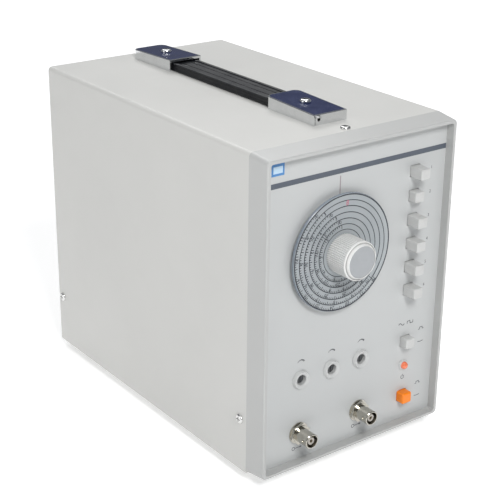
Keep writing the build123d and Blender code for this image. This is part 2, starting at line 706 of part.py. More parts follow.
# Threaded bearing for the shaft, with its nut drawn up on the panel face
with BuildPart() as dial_bushing:
    with BuildSketch(front_view(panel_face_y)):
        with Locations((DIAL_X, dial_z)):
            RegularPolygon(7.0, 6)
            Circle(BUSHING_RADIUS - 0.4, mode=Mode.SUBTRACT)
    extrude(amount=1.8)
    with BuildSketch(front_view(panel_back_y)):
        with Locations((DIAL_X, dial_z)):
            Circle(7.5)
    extrude(amount=-2.5)
    with BuildSketch(front_view(panel_back_y)):
        with Locations((DIAL_X, dial_z)):
            Circle(BUSHING_RADIUS - 0.1)
    extrude(amount=PANEL_THICKNESS + 2.2)
    with BuildSketch(front_view(front_y)):
        with Locations((DIAL_X, dial_z)):
            Circle(SHAFT_RADIUS + SHAFT_FIT)
    extrude(amount=-CAPACITOR_FRONT, mode=Mode.SUBTRACT)
write(dial_bushing, "dial_bushing")

# Posts between the panel and the capacitor's front plate
with BuildPart() as capacitor_posts:
    with BuildSketch(front_view(panel_back_y)):
        with Locations((DIAL_X, dial_z)):
            with GridLocations(POST_SPACING, POST_SPACING, 2, 2):
                Circle(POST_RADIUS)
    extrude(amount=-(capacitor_front_y - panel_back_y))
write(capacitor_posts, "capacitor_posts")

# Open frame of the air-spaced tuning capacitor
with BuildPart() as capacitor_frame:
    with BuildSketch(front_view(capacitor_front_y)):
        with Locations((DIAL_X, dial_z)):
            RectangleRounded(CAPACITOR_WIDTH, CAPACITOR_WIDTH, 2)
    extrude(amount=-CAPACITOR_LENGTH)
    with BuildSketch(front_view(capacitor_front_y + CAPACITOR_PLATE)):
        with Locations((DIAL_X, dial_z + CAPACITOR_PLATE)):
            Rectangle(CAPACITOR_WIDTH + 1, CAPACITOR_WIDTH)
    extrude(amount=-(CAPACITOR_LENGTH - 2 * CAPACITOR_PLATE), mode=Mode.SUBTRACT)
    with BuildSketch(front_view(capacitor_front_y)):
        with Locations((DIAL_X, dial_z)):
            Circle(SHAFT_RADIUS + SHAFT_FIT)
    extrude(amount=-CAPACITOR_LENGTH, mode=Mode.SUBTRACT)
write(capacitor_frame, "capacitor_frame")

# Fixed vanes on two rods, in the half plane to the left of the shaft
vane_start = capacitor_front_y + CAPACITOR_PLATE + 4
ROD_RADIUS = 1.2
rod_distance = ROTOR_RADIUS + 2.4
rod_points = [
    (DIAL_X + rod_distance * math.cos(math.radians(a)), dial_z + rod_distance * math.sin(math.radians(a)))
    for a in (150, 210)
]
with BuildPart() as capacitor_stator:
    for i in range(VANE_COUNT):
        with BuildSketch(front_view(vane_start + (i + 0.5) * VANE_PITCH)):
            with Locations((DIAL_X, dial_z)):
                Circle(rod_distance + 1.6)
                Circle(6.5, mode=Mode.SUBTRACT)
                with Locations((25 - 1.0, 0)):
                    Rectangle(50, 60, mode=Mode.SUBTRACT)
        extrude(amount=-VANE_THICKNESS)
    with BuildSketch(front_view(capacitor_front_y + CAPACITOR_PLATE)):
        with Locations(*rod_points):
            Circle(ROD_RADIUS)
    extrude(amount=-(CAPACITOR_LENGTH - 2 * CAPACITOR_PLATE))
write(capacitor_stator, "capacitor_stator")

# Turning vanes on their hub, half meshed with the fixed ones at rest
with BuildPart() as capacitor_rotor:
    with BuildSketch(front_view(capacitor_front_y + CAPACITOR_PLATE + 0.5)):
        with Locations((DIAL_X, dial_z)):
            Circle(5.0)
    extrude(amount=-(CAPACITOR_LENGTH - 2 * CAPACITOR_PLATE - 1))
    for i in range(VANE_COUNT):
        with BuildSketch(front_view(vane_start + i * VANE_PITCH)):
            with Locations((DIAL_X, dial_z)):
                Circle(ROTOR_RADIUS)
                with Locations((0, 25)):
                    Rectangle(60, 50, mode=Mode.SUBTRACT)
        extrude(amount=-VANE_THICKNESS)
    with BuildSketch(front_view(capacitor_front_y)):
        with Locations((DIAL_X, dial_z)):
            Circle(SHAFT_RADIUS + 0.02)
    extrude(amount=-CAPACITOR_LENGTH, mode=Mode.SUBTRACT)
write(capacitor_rotor, "capacitor_rotor")

# ---------------------------------------------------------------- push buttons

cap_length = BUTTON_OUT + PANEL_THICKNESS + CAP_BEHIND_PANEL
switch_front_y = panel_back_y + CAP_BEHIND_PANEL + BUTTON_TRAVEL + 1.0
switch_depth_end = switch_front_y + SWITCH_DEPTH


def add_button(z, pressed, width, height, corner):
    """Add a cap with its moulded stem, standing out or latched in."""
    face_y = panel_face_y - BUTTON_OUT + pressed * BUTTON_TRAVEL
    with BuildSketch(front_view(face_y)) as cap_outline:
        with Locations((BUTTON_X, z)):
            RectangleRounded(width, height, corner)
    extrude(cap_outline.sketch, amount=-cap_length)
    with BuildSketch(front_view(face_y + cap_length)) as stem_outline:
        with Locations((BUTTON_X, z)):
            Rectangle(STEM_SIZE, STEM_SIZE)
    extrude(stem_outline.sketch, amount=-STEM_LENGTH)


for i, z in enumerate(range_heights, start=1):
    with BuildPart() as range_button:
        add_button(z, i == LATCHED_RANGE, BUTTON_WIDTH, BUTTON_HEIGHT, BUTTON_CORNER)
        fillet(range_button.edges().group_by(Axis.Y)[0], radius=BUTTON_ROUNDING)
    write(range_button, f"range_button_{i}")

with BuildPart() as mode_button:
    add_button(mode_z, True, BUTTON_WIDTH, BUTTON_HEIGHT, BUTTON_CORNER)
    fillet(mode_button.edges().group_by(Axis.Y)[0], radius=BUTTON_ROUNDING)
write(mode_button, "mode_button")

with BuildPart() as power_button:
    add_button(power_z, True, POWER_CAP_WIDTH, POWER_CAP_HEIGHT, POWER_ROUNDING)
    fillet(power_button.edges().group_by(Axis.Y)[0], radius=POWER_ROUNDING - 0.1)
write(power_button, "power_button")


def add_switch(low_z, high_z, stem_heights):
    """Add a switch body with a channel for each stem and two feet on the panel."""
    with BuildSketch(front_view(panel_back_y)) as feet_outline:
        with Locations((BUTTON_X, (low_z + high_z) / 2)):
            Rectangle(SWITCH_WIDTH, high_z - low_z)
            Rectangle(SWITCH_WIDTH + 1, high_z - low_z - 2 * SWITCH_WALL, mode=Mode.SUBTRACT)
    extrude(feet_outline.sketch, amount=-(switch_front_y - panel_back_y))
    with BuildSketch(front_view(switch_front_y)) as body_outline:
        with Locations((BUTTON_X, (low_z + high_z) / 2)):
            Rectangle(SWITCH_WIDTH, high_z - low_z)
        with Locations(*[(BUTTON_X, z) for z in stem_heights]):
            Rectangle(STEM_SIZE + 0.6, STEM_SIZE + 0.6, mode=Mode.SUBTRACT)
    extrude(body_outline.sketch, amount=-SWITCH_DEPTH)


SWITCH_MARGIN = BUTTON_HEIGHT / 2 + 1.0 + SWITCH_WALL
with BuildPart() as range_switch_bank:
    add_switch(range_heights[-1] - SWITCH_MARGIN, range_heights[0] + SWITCH_MARGIN, range_heights)
write(range_switch_bank, "range_switch_bank")

with BuildPart() as mode_switch:
    add_switch(mode_z - SWITCH_MARGIN, mode_z + SWITCH_MARGIN, [mode_z])
write(mode_switch, "mode_switch")

with BuildPart() as power_switch:
    add_switch(power_z - SWITCH_MARGIN, power_z + SWITCH_MARGIN, [power_z])
write(power_switch, "power_switch")

# ---------------------------------------------------------------- lamp

with BuildPart() as led_holder:
    with BuildSketch(front_view(panel_face_y)):
        with Locations((BUTTON_X, lamp_z)):
            Circle(LAMP_HOLDER_RADIUS)
    extrude(amount=0.9)
    chamfer(led_holder.edges().group_by(Axis.Y)[0], length=0.4)
    with BuildSketch(front_view(panel_face_y)):
        with Locations((BUTTON_X, lamp_z)):
            Circle(LAMP_RADIUS + 0.5)
    extrude(amount=-(PANEL_THICKNESS + 1.5))
    with BuildSketch(front_view(front_y)):
        with Locations((BUTTON_X, lamp_z)):
            Circle(LAMP_RADIUS + 0.05)
    extrude(amount=-BEZEL_DEPTH, mode=Mode.SUBTRACT)
write(led_holder, "led_holder")

lamp_plane = Plane(origin=(BUTTON_X, panel_face_y, lamp_z), x_dir=(1, 0, 0), z_dir=(0, 0, 1))
LAMP_BODY_BACK = 4.5
LAMP_SHOULDER = 1.2
with BuildPart() as power_led:
    with BuildSketch(lamp_plane):
        with BuildLine():
            Polyline(
                (0, -LAMP_SHOULDER - LAMP_RADIUS),
                (0, LAMP_BODY_BACK),
                (LAMP_RADIUS + 0.4, LAMP_BODY_BACK),
                (LAMP_RADIUS + 0.4, LAMP_BODY_BACK - 1.0),
                (LAMP_RADIUS, LAMP_BODY_BACK - 1.0),
                (LAMP_RADIUS, -LAMP_SHOULDER),
            )
            RadiusArc(
                (LAMP_RADIUS, -LAMP_SHOULDER),
                (0, -LAMP_SHOULDER - LAMP_RADIUS),
                LAMP_RADIUS,
            )
        make_face()
    revolve(axis=Axis(lamp_plane.origin, (0, 1, 0)))
write(power_led, "power_led")

# ---------------------------------------------------------------- adjusters

adjuster_face_y = panel_face_y - ADJUSTER_PROUD
sleeve_end_y = panel_back_y + 3.0
shaft_face_y = adjuster_face_y + ADJUSTER_RECESS
for x, place in zip(ADJUSTER_X, ("left", "middle", "right")):
    ring_plane = Plane(origin=(x, 0, adjuster_z), x_dir=(1, 0, 0), z_dir=(0, 0, 1))
    # Dished collar with a sleeve through the panel
    with BuildPart() as adjuster_ring:
        with BuildSketch(ring_plane):
            with BuildLine():
                Polyline(
                    (ADJUSTER_HOLE_RADIUS, sleeve_end_y),
                    (ADJUSTER_HOLE_RADIUS, adjuster_face_y + 0.9),
                    (ADJUSTER_FACE_RADIUS - 0.5, adjuster_face_y),
                    (ADJUSTER_FACE_RADIUS, adjuster_face_y),
                    (ADJUSTER_RADIUS, panel_face_y - 0.5),
                    (ADJUSTER_RADIUS, panel_face_y),
                    (ADJUSTER_SLEEVE_RADIUS - 0.1, panel_face_y),
                    (ADJUSTER_SLEEVE_RADIUS - 0.1, sleeve_end_y),
                    close=True,
                )
            make_face()
        revolve(axis=Axis(ring_plane.origin, (0, 1, 0)))
    write(adjuster_ring, f"adjuster_ring_{place}")

    # Slotted shaft end, reached with a screwdriver
    with BuildPart() as adjuster_shaft:
        with BuildSketch(front_view(shaft_face_y)):
            with Locations((x, adjuster_z)):
                Circle(ADJUSTER_SHAFT_RADIUS)
        extrude(amount=-(sleeve_end_y + POT_LENGTH - 2 - shaft_face_y))
        with BuildSketch(front_view(shaft_face_y)):
            with Locations((x, adjuster_z)):
                Rectangle(ADJUSTER_SLOT, 2 * ADJUSTER_SHAFT_RADIUS)
        extrude(amount=-1.2, mode=Mode.SUBTRACT)
    write(adjuster_shaft, f"adjuster_shaft_{place}")

# Potentiometer bodies seated on the ends of the sleeves
with BuildPart() as adjuster_pots:
    with BuildSketch(front_view(sleeve_end_y)):
        with Locations(*[(x, adjuster_z) for x in ADJUSTER_X]):
            Circle(POT_RADIUS)
    extrude(amount=-POT_LENGTH)
    with BuildSketch(front_view(sleeve_end_y)):
        with Locations(*[(x, adjuster_z) for x in ADJUSTER_X]):
            Circle(ADJUSTER_SHAFT_RADIUS + SHAFT_FIT)
    extrude(amount=-(POT_LENGTH - 1.5), mode=Mode.SUBTRACT)
write(adjuster_pots, "adjuster_pots")

# ---------------------------------------------------------------- sockets

socket_face_y = panel_face_y - SOCKET_REACH
washer_face_y = panel_face_y - SOCKET_WASHER_THICKNESS
nut_face_y = washer_face_y - SOCKET_NUT_THICKNESS
bore_end_y = socket_face_y + SOCKET_BORE_DEPTH
thread_face_y = nut_face_y - SOCKET_THREAD_SHOWING
socket_rear_y = panel_back_y + SOCKET_REAR
for x, socket_name in zip(SOCKET_X, ("output_socket_shell", "modulation_socket_shell")):
    with BuildPart() as socket_shell:
        with BuildSketch(front_view(socket_face_y)):
            with Locations((x, socket_z)):
                Circle(SOCKET_RADIUS)
        extrude(amount=-(thread_face_y - socket_face_y))
        chamfer(socket_shell.edges().group_by(Axis.Y)[0], length=SOCKET_RIM_CHAMFER)
        with BuildSketch(front_view(thread_face_y)):
            with Locations((x, socket_z)):
                Circle(SOCKET_THREAD_RADIUS)
        extrude(amount=-(socket_rear_y - thread_face_y))
        with BuildSketch(front_view(panel_back_y)):
            with Locations((x, socket_z)):
                Circle(SOCKET_WASHER_RADIUS)
        extrude(amount=-SOCKET_FLANGE_THICKNESS)
        with BuildSketch(Plane(origin=(x, 0, socket_z), x_dir=(0, 1, 0), z_dir=(1, 0, 0))):
            with Locations((panel_face_y - LUG_FROM_FACE, 0)):
                Circle(LUG_RADIUS)
        extrude(amount=LUG_REACH, both=True)
        with BuildSketch(front_view(socket_face_y)):
            with Locations((x, socket_z)):
                Circle(SOCKET_BORE_RADIUS)
        extrude(amount=-SOCKET_BORE_DEPTH, mode=Mode.SUBTRACT)
        with BuildSketch(front_view(socket_face_y)):
            with Locations((x, socket_z)):
                Circle(SOCKET_INSERT_RADIUS)
        extrude(amount=-(socket_rear_y - socket_face_y), mode=Mode.SUBTRACT)
    write(socket_shell, socket_name)

socket_points = [(x, socket_z) for x in SOCKET_X]
with BuildPart() as socket_washers:
    with BuildSketch(front_view(panel_face_y)):
        with Locations(*socket_points):
            Circle(SOCKET_WASHER_RADIUS)
            Circle(SOCKET_THREAD_RADIUS + 0.1, mode=Mode.SUBTRACT)
    extrude(amount=SOCKET_WASHER_THICKNESS)
write(socket_washers, "socket_washers")

with BuildPart() as socket_nuts:
    with BuildSketch(front_view(washer_face_y)):
        with Locations(*socket_points):
            RegularPolygon(SOCKET_NUT_WIDTH / 2, 6, major_radius=False, rotation=15)
            Circle(SOCKET_THREAD_RADIUS + 0.05, mode=Mode.SUBTRACT)
    extrude(amount=SOCKET_NUT_THICKNESS)
write(socket_nuts, "socket_nuts")

# Insulators: a column standing in each open bore, on a plug that fills the shell behind
core_face_y = socket_face_y + SOCKET_CORE_SETBACK
with BuildPart() as socket_inserts:
    with BuildSketch(front_view(bore_end_y)):
        with Locations(*socket_points):
            Circle(SOCKET_INSERT_RADIUS - 0.02)
    extrude(amount=-(socket_rear_y - bore_end_y))
    with BuildSketch(front_view(bore_end_y)):
        with Locations(*socket_points):
            Circle(SOCKET_CORE_RADIUS)
    extrude(amount=bore_end_y - core_face_y)
    with BuildSketch(front_view(core_face_y)):
        with Locations(*socket_points):
            Circle(1.25)
    extrude(amount=-(socket_rear_y - core_face_y), mode=Mode.SUBTRACT)
write(socket_inserts, "socket_inserts")

with BuildPart() as socket_contacts:
    with BuildSketch(front_view(core_face_y + 0.4)):
        with Locations(*socket_points):
            Circle(1.2)
    extrude(amount=-(socket_rear_y + 4 - core_face_y - 0.4))
    with BuildSketch(front_view(core_face_y + 0.4)):
        with Locations(*socket_points):
            Circle(0.7)
    extrude(amount=-5, mode=Mode.SUBTRACT)
write(socket_contacts, "socket_contacts")

# ---------------------------------------------------------------- inside

BOARD_X = -31.0
BOARD_WIDTH = 78.0
BOARD_LENGTH = 190.0
BOARD_THICKNESS = 1.6
STANDOFF_HEIGHT = 8.0
board_middle_y = front_y + 34 + BOARD_LENGTH / 2
board_z = floor_z + STANDOFF_HEIGHT
with BuildPart() as board_standoffs:
    with BuildSketch(Plane.XY.offset(floor_z)):
        with Locations((BOARD_X, board_middle_y)):
            with GridLocations(BOARD_WIDTH - 10, BOARD_LENGTH - 10, 2, 2):
                RegularPolygon(3.0, 6)
    extrude(amount=STANDOFF_HEIGHT)
write(board_standoffs, "board_standoffs")

with BuildPart() as main_board:
    with BuildSketch(Plane.XY.offset(board_z)):
        with Locations((BOARD_X, board_middle_y)):
            Rectangle(BOARD_WIDTH, BOARD_LENGTH)
    extrude(amount=BOARD_THICKNESS)
write(main_board, "main_board")

# Folded can over the oscillator, open underneath where it meets the board
CAN_WIDTH = 56.0
CAN_LENGTH = 70.0
CAN_HEIGHT = 26.0
CAN_SHEET = 0.6
with BuildPart() as shield_can:
    with BuildSketch(Plane.XY.offset(board_z + BOARD_THICKNESS)):
        with Locations((BOARD_X, board_middle_y)):
            Rectangle(CAN_WIDTH, CAN_LENGTH)
    extrude(amount=CAN_HEIGHT)
    with BuildSketch(Plane.XY.offset(board_z + BOARD_THICKNESS)):
        with Locations((BOARD_X, board_middle_y)):
            Rectangle(CAN_WIDTH - 2 * CAN_SHEET, CAN_LENGTH - 2 * CAN_SHEET)
    extrude(amount=CAN_HEIGHT - CAN_SHEET, mode=Mode.SUBTRACT)
write(shield_can, "shield_can")

# Laminated core lying on the floor, with its winding bulging through the windows
CORE_WIDTH = 48.0
CORE_LENGTH = 22.0
CORE_HEIGHT = 40.0
COIL_WIDTH = 30.0
COIL_LENGTH = 38.0
COIL_HEIGHT = 24.0
transformer_x = 42.0
transformer_y = rear_y - 60
with BuildPart() as transformer:
    with BuildSketch(Plane.XY.offset(floor_z)):
        with Locations((transformer_x, transformer_y)):
            Rectangle(CORE_WIDTH, CORE_LENGTH)
    extrude(amount=CORE_HEIGHT)
    with BuildSketch(Plane.XY.offset(floor_z + (CORE_HEIGHT - COIL_HEIGHT) / 2)):
        with Locations((transformer_x, transformer_y)):
            RectangleRounded(COIL_WIDTH, COIL_LENGTH, 6)
    extrude(amount=COIL_HEIGHT)
write(transformer, "transformer")

# ---------------------------------------------------------------- rear fittings

inlet_z = bottom_z + INLET_HEIGHT
fuse_z = bottom_z + FUSE_HEIGHT
INLET_FLANGE_WIDTH = 50.0
INLET_FLANGE_HEIGHT = 24.0
INLET_FLANGE_THICKNESS = 3.0
INLET_BODY_DEPTH = 22.0
INLET_CAVITY_WIDTH = 24.0
INLET_CAVITY_HEIGHT = 16.4
INLET_CAVITY_DEPTH = 16.0
inlet_face_y = rear_panel_y + INLET_FLANGE_THICKNESS
PIN_SPACING = 14.0
PIN_DROP = 2.0
PIN_LENGTH = 10.8
with BuildPart() as inlet_socket:
    with BuildSketch(front_view(rear_panel_y)):
        with Locations((INLET_X, inlet_z)):
            RectangleRounded(INLET_FLANGE_WIDTH, INLET_FLANGE_HEIGHT, 3)
            with GridLocations(INLET_SCREW_SPACING, 0, 2, 1):
                Circle(SCREW_CLEARANCE_RADIUS, mode=Mode.SUBTRACT)
    extrude(amount=-INLET_FLANGE_THICKNESS)
    with BuildSketch(front_view(rear_panel_y)):
        with Locations((INLET_X, inlet_z)):
            Rectangle(INLET_CUT_WIDTH - 0.4, INLET_CUT_HEIGHT - 0.4)
    extrude(amount=INLET_BODY_DEPTH)
    with BuildSketch(front_view(inlet_face_y)):
        with Locations((INLET_X, inlet_z)):
            Rectangle(INLET_CAVITY_WIDTH, INLET_CAVITY_HEIGHT)
    extrude(amount=INLET_CAVITY_DEPTH, mode=Mode.SUBTRACT)
write(inlet_socket, "inlet_socket")

with BuildPart() as inlet_pins:
    with BuildSketch(front_view(inlet_face_y - INLET_CAVITY_DEPTH)):
        with Locations(
            (INLET_X - PIN_SPACING / 2, inlet_z - PIN_DROP),
            (INLET_X + PIN_SPACING / 2, inlet_z - PIN_DROP),
            (INLET_X, inlet_z + PIN_DROP),
        ):
            Rectangle(2.0, 4.0)
    extrude(amount=-PIN_LENGTH)
write(inlet_pins, "inlet_pins")

with BuildPart() as inlet_screws:
    for x in (INLET_X - INLET_SCREW_SPACING / 2, INLET_X + INLET_SCREW_SPACING / 2):
        add_screw(
            Plane(origin=(x, inlet_face_y, inlet_z), x_dir=(1, 0, 0), z_dir=(0, 1, 0)),
            SCREW_HEAD_RADIUS,
            SCREW_HEAD_HEIGHT,
            SCREW_RADIUS,
            SCREW_LENGTH,
        )
write(inlet_screws, "inlet_screws")

FUSE_FLANGE_RADIUS = 8.0
FUSE_FLANGE_THICKNESS = 2.0
FUSE_BORE_RADIUS = 4.5
fuse_flange_y = rear_panel_y + FUSE_FLANGE_THICKNESS
with BuildPart() as fuse_holder:
    with BuildSketch(front_view(rear_panel_y)):
        with Locations((FUSE_X, fuse_z)):
            Circle(FUSE_FLANGE_RADIUS)
    extrude(amount=-FUSE_FLANGE_THICKNESS)
    with BuildSketch(front_view(rear_panel_y)):
        with Locations((FUSE_X, fuse_z)):
            Circle(FUSE_BODY_RADIUS)
    extrude(amount=32)
    with BuildSketch(front_view(rear_panel_y - REAR_PANEL_THICKNESS)):
        with Locations((FUSE_X, fuse_z)):
            RegularPolygon(8.5, 6)
    extrude(amount=3)
    with BuildSketch(front_view(fuse_flange_y)):
        with Locations((FUSE_X, fuse_z)):
            Circle(FUSE_BORE_RADIUS)
    extrude(amount=30, mode=Mode.SUBTRACT)
write(fuse_holder, "fuse_holder")

# Bayonet cap with a finger slot; its plug turns in the holder's bore
FUSE_CAP_RADIUS = 6.5
with BuildPart() as fuse_cap:
    with BuildSketch(front_view(fuse_flange_y + 0.3)):
        with Locations((FUSE_X, fuse_z)):
            Circle(FUSE_CAP_RADIUS)
    extrude(amount=-(rear_y + REAR_REACH - fuse_flange_y - 0.3))
    fillet(fuse_cap.edges().group_by(Axis.Y)[-1], radius=0.8)
    with BuildSketch(front_view(rear_y + REAR_REACH)):
        with Locations((FUSE_X, fuse_z)):
            Rectangle(2 * FUSE_CAP_RADIUS + 1, 1.6)
    extrude(amount=2, mode=Mode.SUBTRACT)
    with BuildSketch(front_view(fuse_flange_y + 0.3)):
        with Locations((FUSE_X, fuse_z)):
            Circle(FUSE_BORE_RADIUS - SHAFT_FIT)
    extrude(amount=12)
write(fuse_cap, "fuse_cap")
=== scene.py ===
import math

import bmesh
import bpy
from mathutils import Matrix, Vector


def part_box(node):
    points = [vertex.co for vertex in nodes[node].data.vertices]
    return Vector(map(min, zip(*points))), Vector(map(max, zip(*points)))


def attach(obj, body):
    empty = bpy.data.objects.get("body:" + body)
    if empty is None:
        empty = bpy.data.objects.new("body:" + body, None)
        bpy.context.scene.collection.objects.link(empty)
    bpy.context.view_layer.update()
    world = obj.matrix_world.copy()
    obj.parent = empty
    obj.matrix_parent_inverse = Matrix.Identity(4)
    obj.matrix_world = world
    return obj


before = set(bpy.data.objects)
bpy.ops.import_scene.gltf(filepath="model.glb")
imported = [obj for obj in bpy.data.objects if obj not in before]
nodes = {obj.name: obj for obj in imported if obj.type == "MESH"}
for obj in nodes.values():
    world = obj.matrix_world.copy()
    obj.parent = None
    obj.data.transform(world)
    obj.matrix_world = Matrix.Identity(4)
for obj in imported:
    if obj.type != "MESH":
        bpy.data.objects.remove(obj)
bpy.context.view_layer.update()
MM = 0.001


def mm(*values):
    """Millimetres as metres."""
    return tuple(value * MM for value in values)


# ------------------------------------------------------------------ places read from the CAD


def centre_of(node):
    """The middle of a CAD node's box."""
    low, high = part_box(node)
    return (low + high) / 2


panel_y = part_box("front_panel")[0].y
bezel_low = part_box("front_bezel")[0]
base_z = bezel_low.z
dial_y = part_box("frequency_dial")[0].y
dial_centre = centre_of("frequency_dial")

# ------------------------------------------------------------------ material nodes

# places of the colour sockets on a Mix node, whose sockets share their names
MIX_FIRST = 6
MIX_SECOND = 7
MIX_RESULT = 2
# how well a rounded normal agrees with the real one, on a flat and at a sharp edge
FLAT_AGREEMENT = 0.995
EDGE_AGREEMENT = 0.75
BEVEL_SAMPLES = 6
OPENNESS_SAMPLES = 8


class Material:
    """A principled material with short calls for the nodes that shape it."""

    def __init__(self, name, metallic=0.0, roughness=0.5):
        self.material = bpy.data.materials.new(name)
        self.material.use_nodes = True
        self.tree = self.material.node_tree
        self.shader = self.tree.nodes["Principled BSDF"]
        self.constant(Metallic=metallic, Roughness=roughness)
        self.place = self.node("ShaderNodeTexCoord").outputs["Object"]

    def node(self, kind, **values):
        made = self.tree.nodes.new(kind)
        for key, value in values.items():
            setattr(made, key, value)
        return made

    def link(self, output, target):
        self.tree.links.new(output, target)

    def feed(self, socket, value):
        """Link a node's output to a socket, or set the socket to a plain value."""
        if isinstance(value, bpy.types.NodeSocket):
            self.link(value, socket)
        else:
            socket.default_value = value

    def fill(self, made, **inputs):
        for key, value in inputs.items():
            self.feed(made.inputs[key.replace("_", " ")], value)
        return made

    def constant(self, **values):
        """Values that are the same all over the surface, on the shader's own sockets."""
        self.fill(self.shader, **values)

    def surface(self, colour, roughness, normal):
        """The three inputs that every finish of the object varies."""
        self.fill(self.shader, Base_Color=colour, Roughness=roughness, Normal=normal)

    def stretched(self, scale):
        return self.fill(self.node("ShaderNodeMapping"), Vector=self.place, Scale=scale).outputs[0]

    def noise(self, scale, detail=4.0, roughness=0.55, distortion=0.0, place=None):
        made = self.node("ShaderNodeTexNoise")
        self.fill(made, Vector=place or self.place, Scale=scale, Detail=detail)
        self.fill(made, Roughness=roughness, Distortion=distortion)
        return made.outputs["Fac"]

    def streaks(self, scale, detail=3.0, roughness=0.7):
        """Noise drawn out along the axes with the small scales."""
        return self.noise(1.0, detail, roughness, place=self.stretched(scale))

    def cells(self, scale):
        made = self.fill(self.node("ShaderNodeTexVoronoi"), Vector=self.place, Scale=scale)
        return made.outputs["Distance"]

    def remap(self, value, low, high, to_low=0.0, to_high=1.0):
        made = self.node("ShaderNodeMapRange", clamp=True)
        self.fill(made, Value=value, From_Min=low, From_Max=high, To_Min=to_low, To_Max=to_high)
        return made.outputs["Result"]

    def product(self, first, second):
        made = self.node("ShaderNodeMath", operation="MULTIPLY")
        self.link(first, made.inputs[0])
        self.link(second, made.inputs[1])
        return made.outputs[0]

    def blend(self, factor, first, second):
        """From the first colour at factor 0 to the second at 1."""
        made = self.node("ShaderNodeMix", data_type="RGBA")
        self.link(factor, made.inputs[0])
        for index, colour in ((MIX_FIRST, first), (MIX_SECOND, second)):
            plain = not isinstance(colour, bpy.types.NodeSocket)
            self.feed(made.inputs[index], (*colour, 1.0) if plain else colour)
        return made.outputs[MIX_RESULT]

    def edges(self, radius):
        """1 near convex and concave edges, 0 on flats."""
        bevel = self.fill(self.node("ShaderNodeBevel", samples=BEVEL_SAMPLES), Radius=radius)
        agreement = self.node("ShaderNodeVectorMath", operation="DOT_PRODUCT")
        self.link(bevel.outputs[0], agreement.inputs[0])
        self.link(self.node("ShaderNodeNewGeometry").outputs["Normal"], agreement.inputs[1])
        return self.remap(agreement.outputs["Value"], FLAT_AGREEMENT, EDGE_AGREEMENT)

    def openness(self, reach):
        """1 in the open, lower in grooves and corners that are narrower than reach."""
        made = self.node("ShaderNodeAmbientOcclusion", samples=OPENNESS_SAMPLES)
        return self.fill(made, Distance=reach).outputs["AO"]

    def bump(self, height, strength, distance, under=None):
        made = self.fill(self.node("ShaderNodeBump"), Strength=strength, Distance=distance, Height=height)
        if under is not None:
            self.link(under, made.inputs["Normal"])
        return made.outputs["Normal"]


def lighter(colour, factor):
    """A colour made lighter by a factor, or darker by one below 1."""
    return tuple(min(1.0, channel * factor) for channel in colour)


# ------------------------------------------------------------------ finishes


def painted(name, colour, grain=1500.0, grain_depth=0.04 * MM, gloss=0.42, wear=0.25):
    """Stoved paint on sheet: fine orange peel, faint handling marks, slightly rubbed edges."""
    m = Material(name)
    drift = m.noise(9.0, 3.0)
    smudge = m.noise(38.0, 5.0, 0.6, 0.4)
    body = m.blend(m.remap(drift, 0.3, 0.7), lighter(colour, 0.975), lighter(colour, 1.02))
    body = m.blend(m.remap(smudge, 0.58, 0.82, 0.0, 0.10), body, lighter(colour, 0.86))
    rubbed = m.product(m.edges(0.9 * MM), m.remap(m.noise(160.0), 0.42, 0.68, 0.0, wear))
    body = m.blend(rubbed, body, lighter(colour, 1.18))
    shine = m.remap(smudge, 0.25, 0.8, gloss - 0.05, gloss + 0.09)
    waves = m.bump(m.noise(260.0, 2.0, 0.5), 0.35, 0.08 * MM)
    peel = m.bump(m.noise(grain, 2.0, 0.5), 0.35, grain_depth, waves)
    m.surface(body, shine, peel)
    return m.material


def plastic(name, colour, gloss=0.35, scatter=0.0, dirt=0.12, edge=0.10, hollow_shade=0.0):
    """Moulded plastic: spark texture, mottling, specks of grime, paler edges and, where asked, painted
    shade in grooves and recesses.
    """
    m = Material(name)
    mottle = m.noise(220.0, 4.0, 0.6)
    grime = m.noise(620.0, 6.0, 0.7)
    body = m.blend(m.remap(mottle, 0.3, 0.75), lighter(colour, 0.965), lighter(colour, 1.03))
    body = m.blend(m.remap(grime, 0.56, 0.8, 0.0, dirt), body, lighter(colour, 0.55))
    body = m.blend(m.remap(m.edges(0.4 * MM), 0.0, 1.0, 0.0, edge), body, lighter(colour, 1.25))
    if hollow_shade:
        # Painted shade: grooves and recesses narrower than the reach darken towards a quarter of the
        # colour.
        shaded = m.remap(m.openness(1.2 * MM), 0.35, 0.95, hollow_shade, 0.0)
        body = m.blend(shaded, body, lighter(colour, 0.25))
    shine = m.remap(grime, 0.25, 0.8, gloss - 0.06, gloss + 0.12)
    sparks = m.bump(m.noise(2200.0, 2.0), 0.3, 0.02 * MM)
    m.surface(body, shine, sparks)
    if scatter:
        m.constant(Subsurface_Weight=scatter, Subsurface_Radius=(0.4, 0.35, 0.3), Subsurface_Scale=2 * MM)
    return m.material


def plated(
    name, colour, gloss=0.12, haze=0.10, brushed=(4000.0, 160.0, 900.0), depth=0.006 * MM, tarnish=None
):
    """Polished or plated metal: smears in the gloss, hairline scratches and, where asked, tarnish."""
    m = Material(name, metallic=1.0)
    smear = m.noise(150.0, 5.0, 0.65, 0.8)
    body = m.blend(m.remap(smear, 0.35, 0.8), colour, lighter(colour, 0.88))
    if tarnish:
        body = m.blend(m.remap(m.noise(900.0, 3.0, 0.6), 0.55, 0.8, 0.0, 0.35), body, tarnish)
    shine = m.remap(smear, 0.3, 0.8, gloss, gloss + haze)
    m.surface(body, shine, m.bump(m.streaks(brushed), 0.25, depth))
    return m.material


def rubber(name, colour, gloss):
    """Moulded vinyl: pebbled skin with dust in patches."""
    m = Material(name)
    dust = m.noise(90.0, 6.0, 0.65)
    body = m.blend(m.remap(dust, 0.45, 0.8, 0.0, 0.16), colour, (0.20, 0.20, 0.20))
    shine = m.remap(dust, 0.3, 0.8, gloss - 0.08, gloss + 0.14)
    m.surface(body, shine, m.bump(m.cells(1300.0), 0.30, 0.05 * MM))
    m.constant(Specular_IOR_Level=0.3)
    return m.material


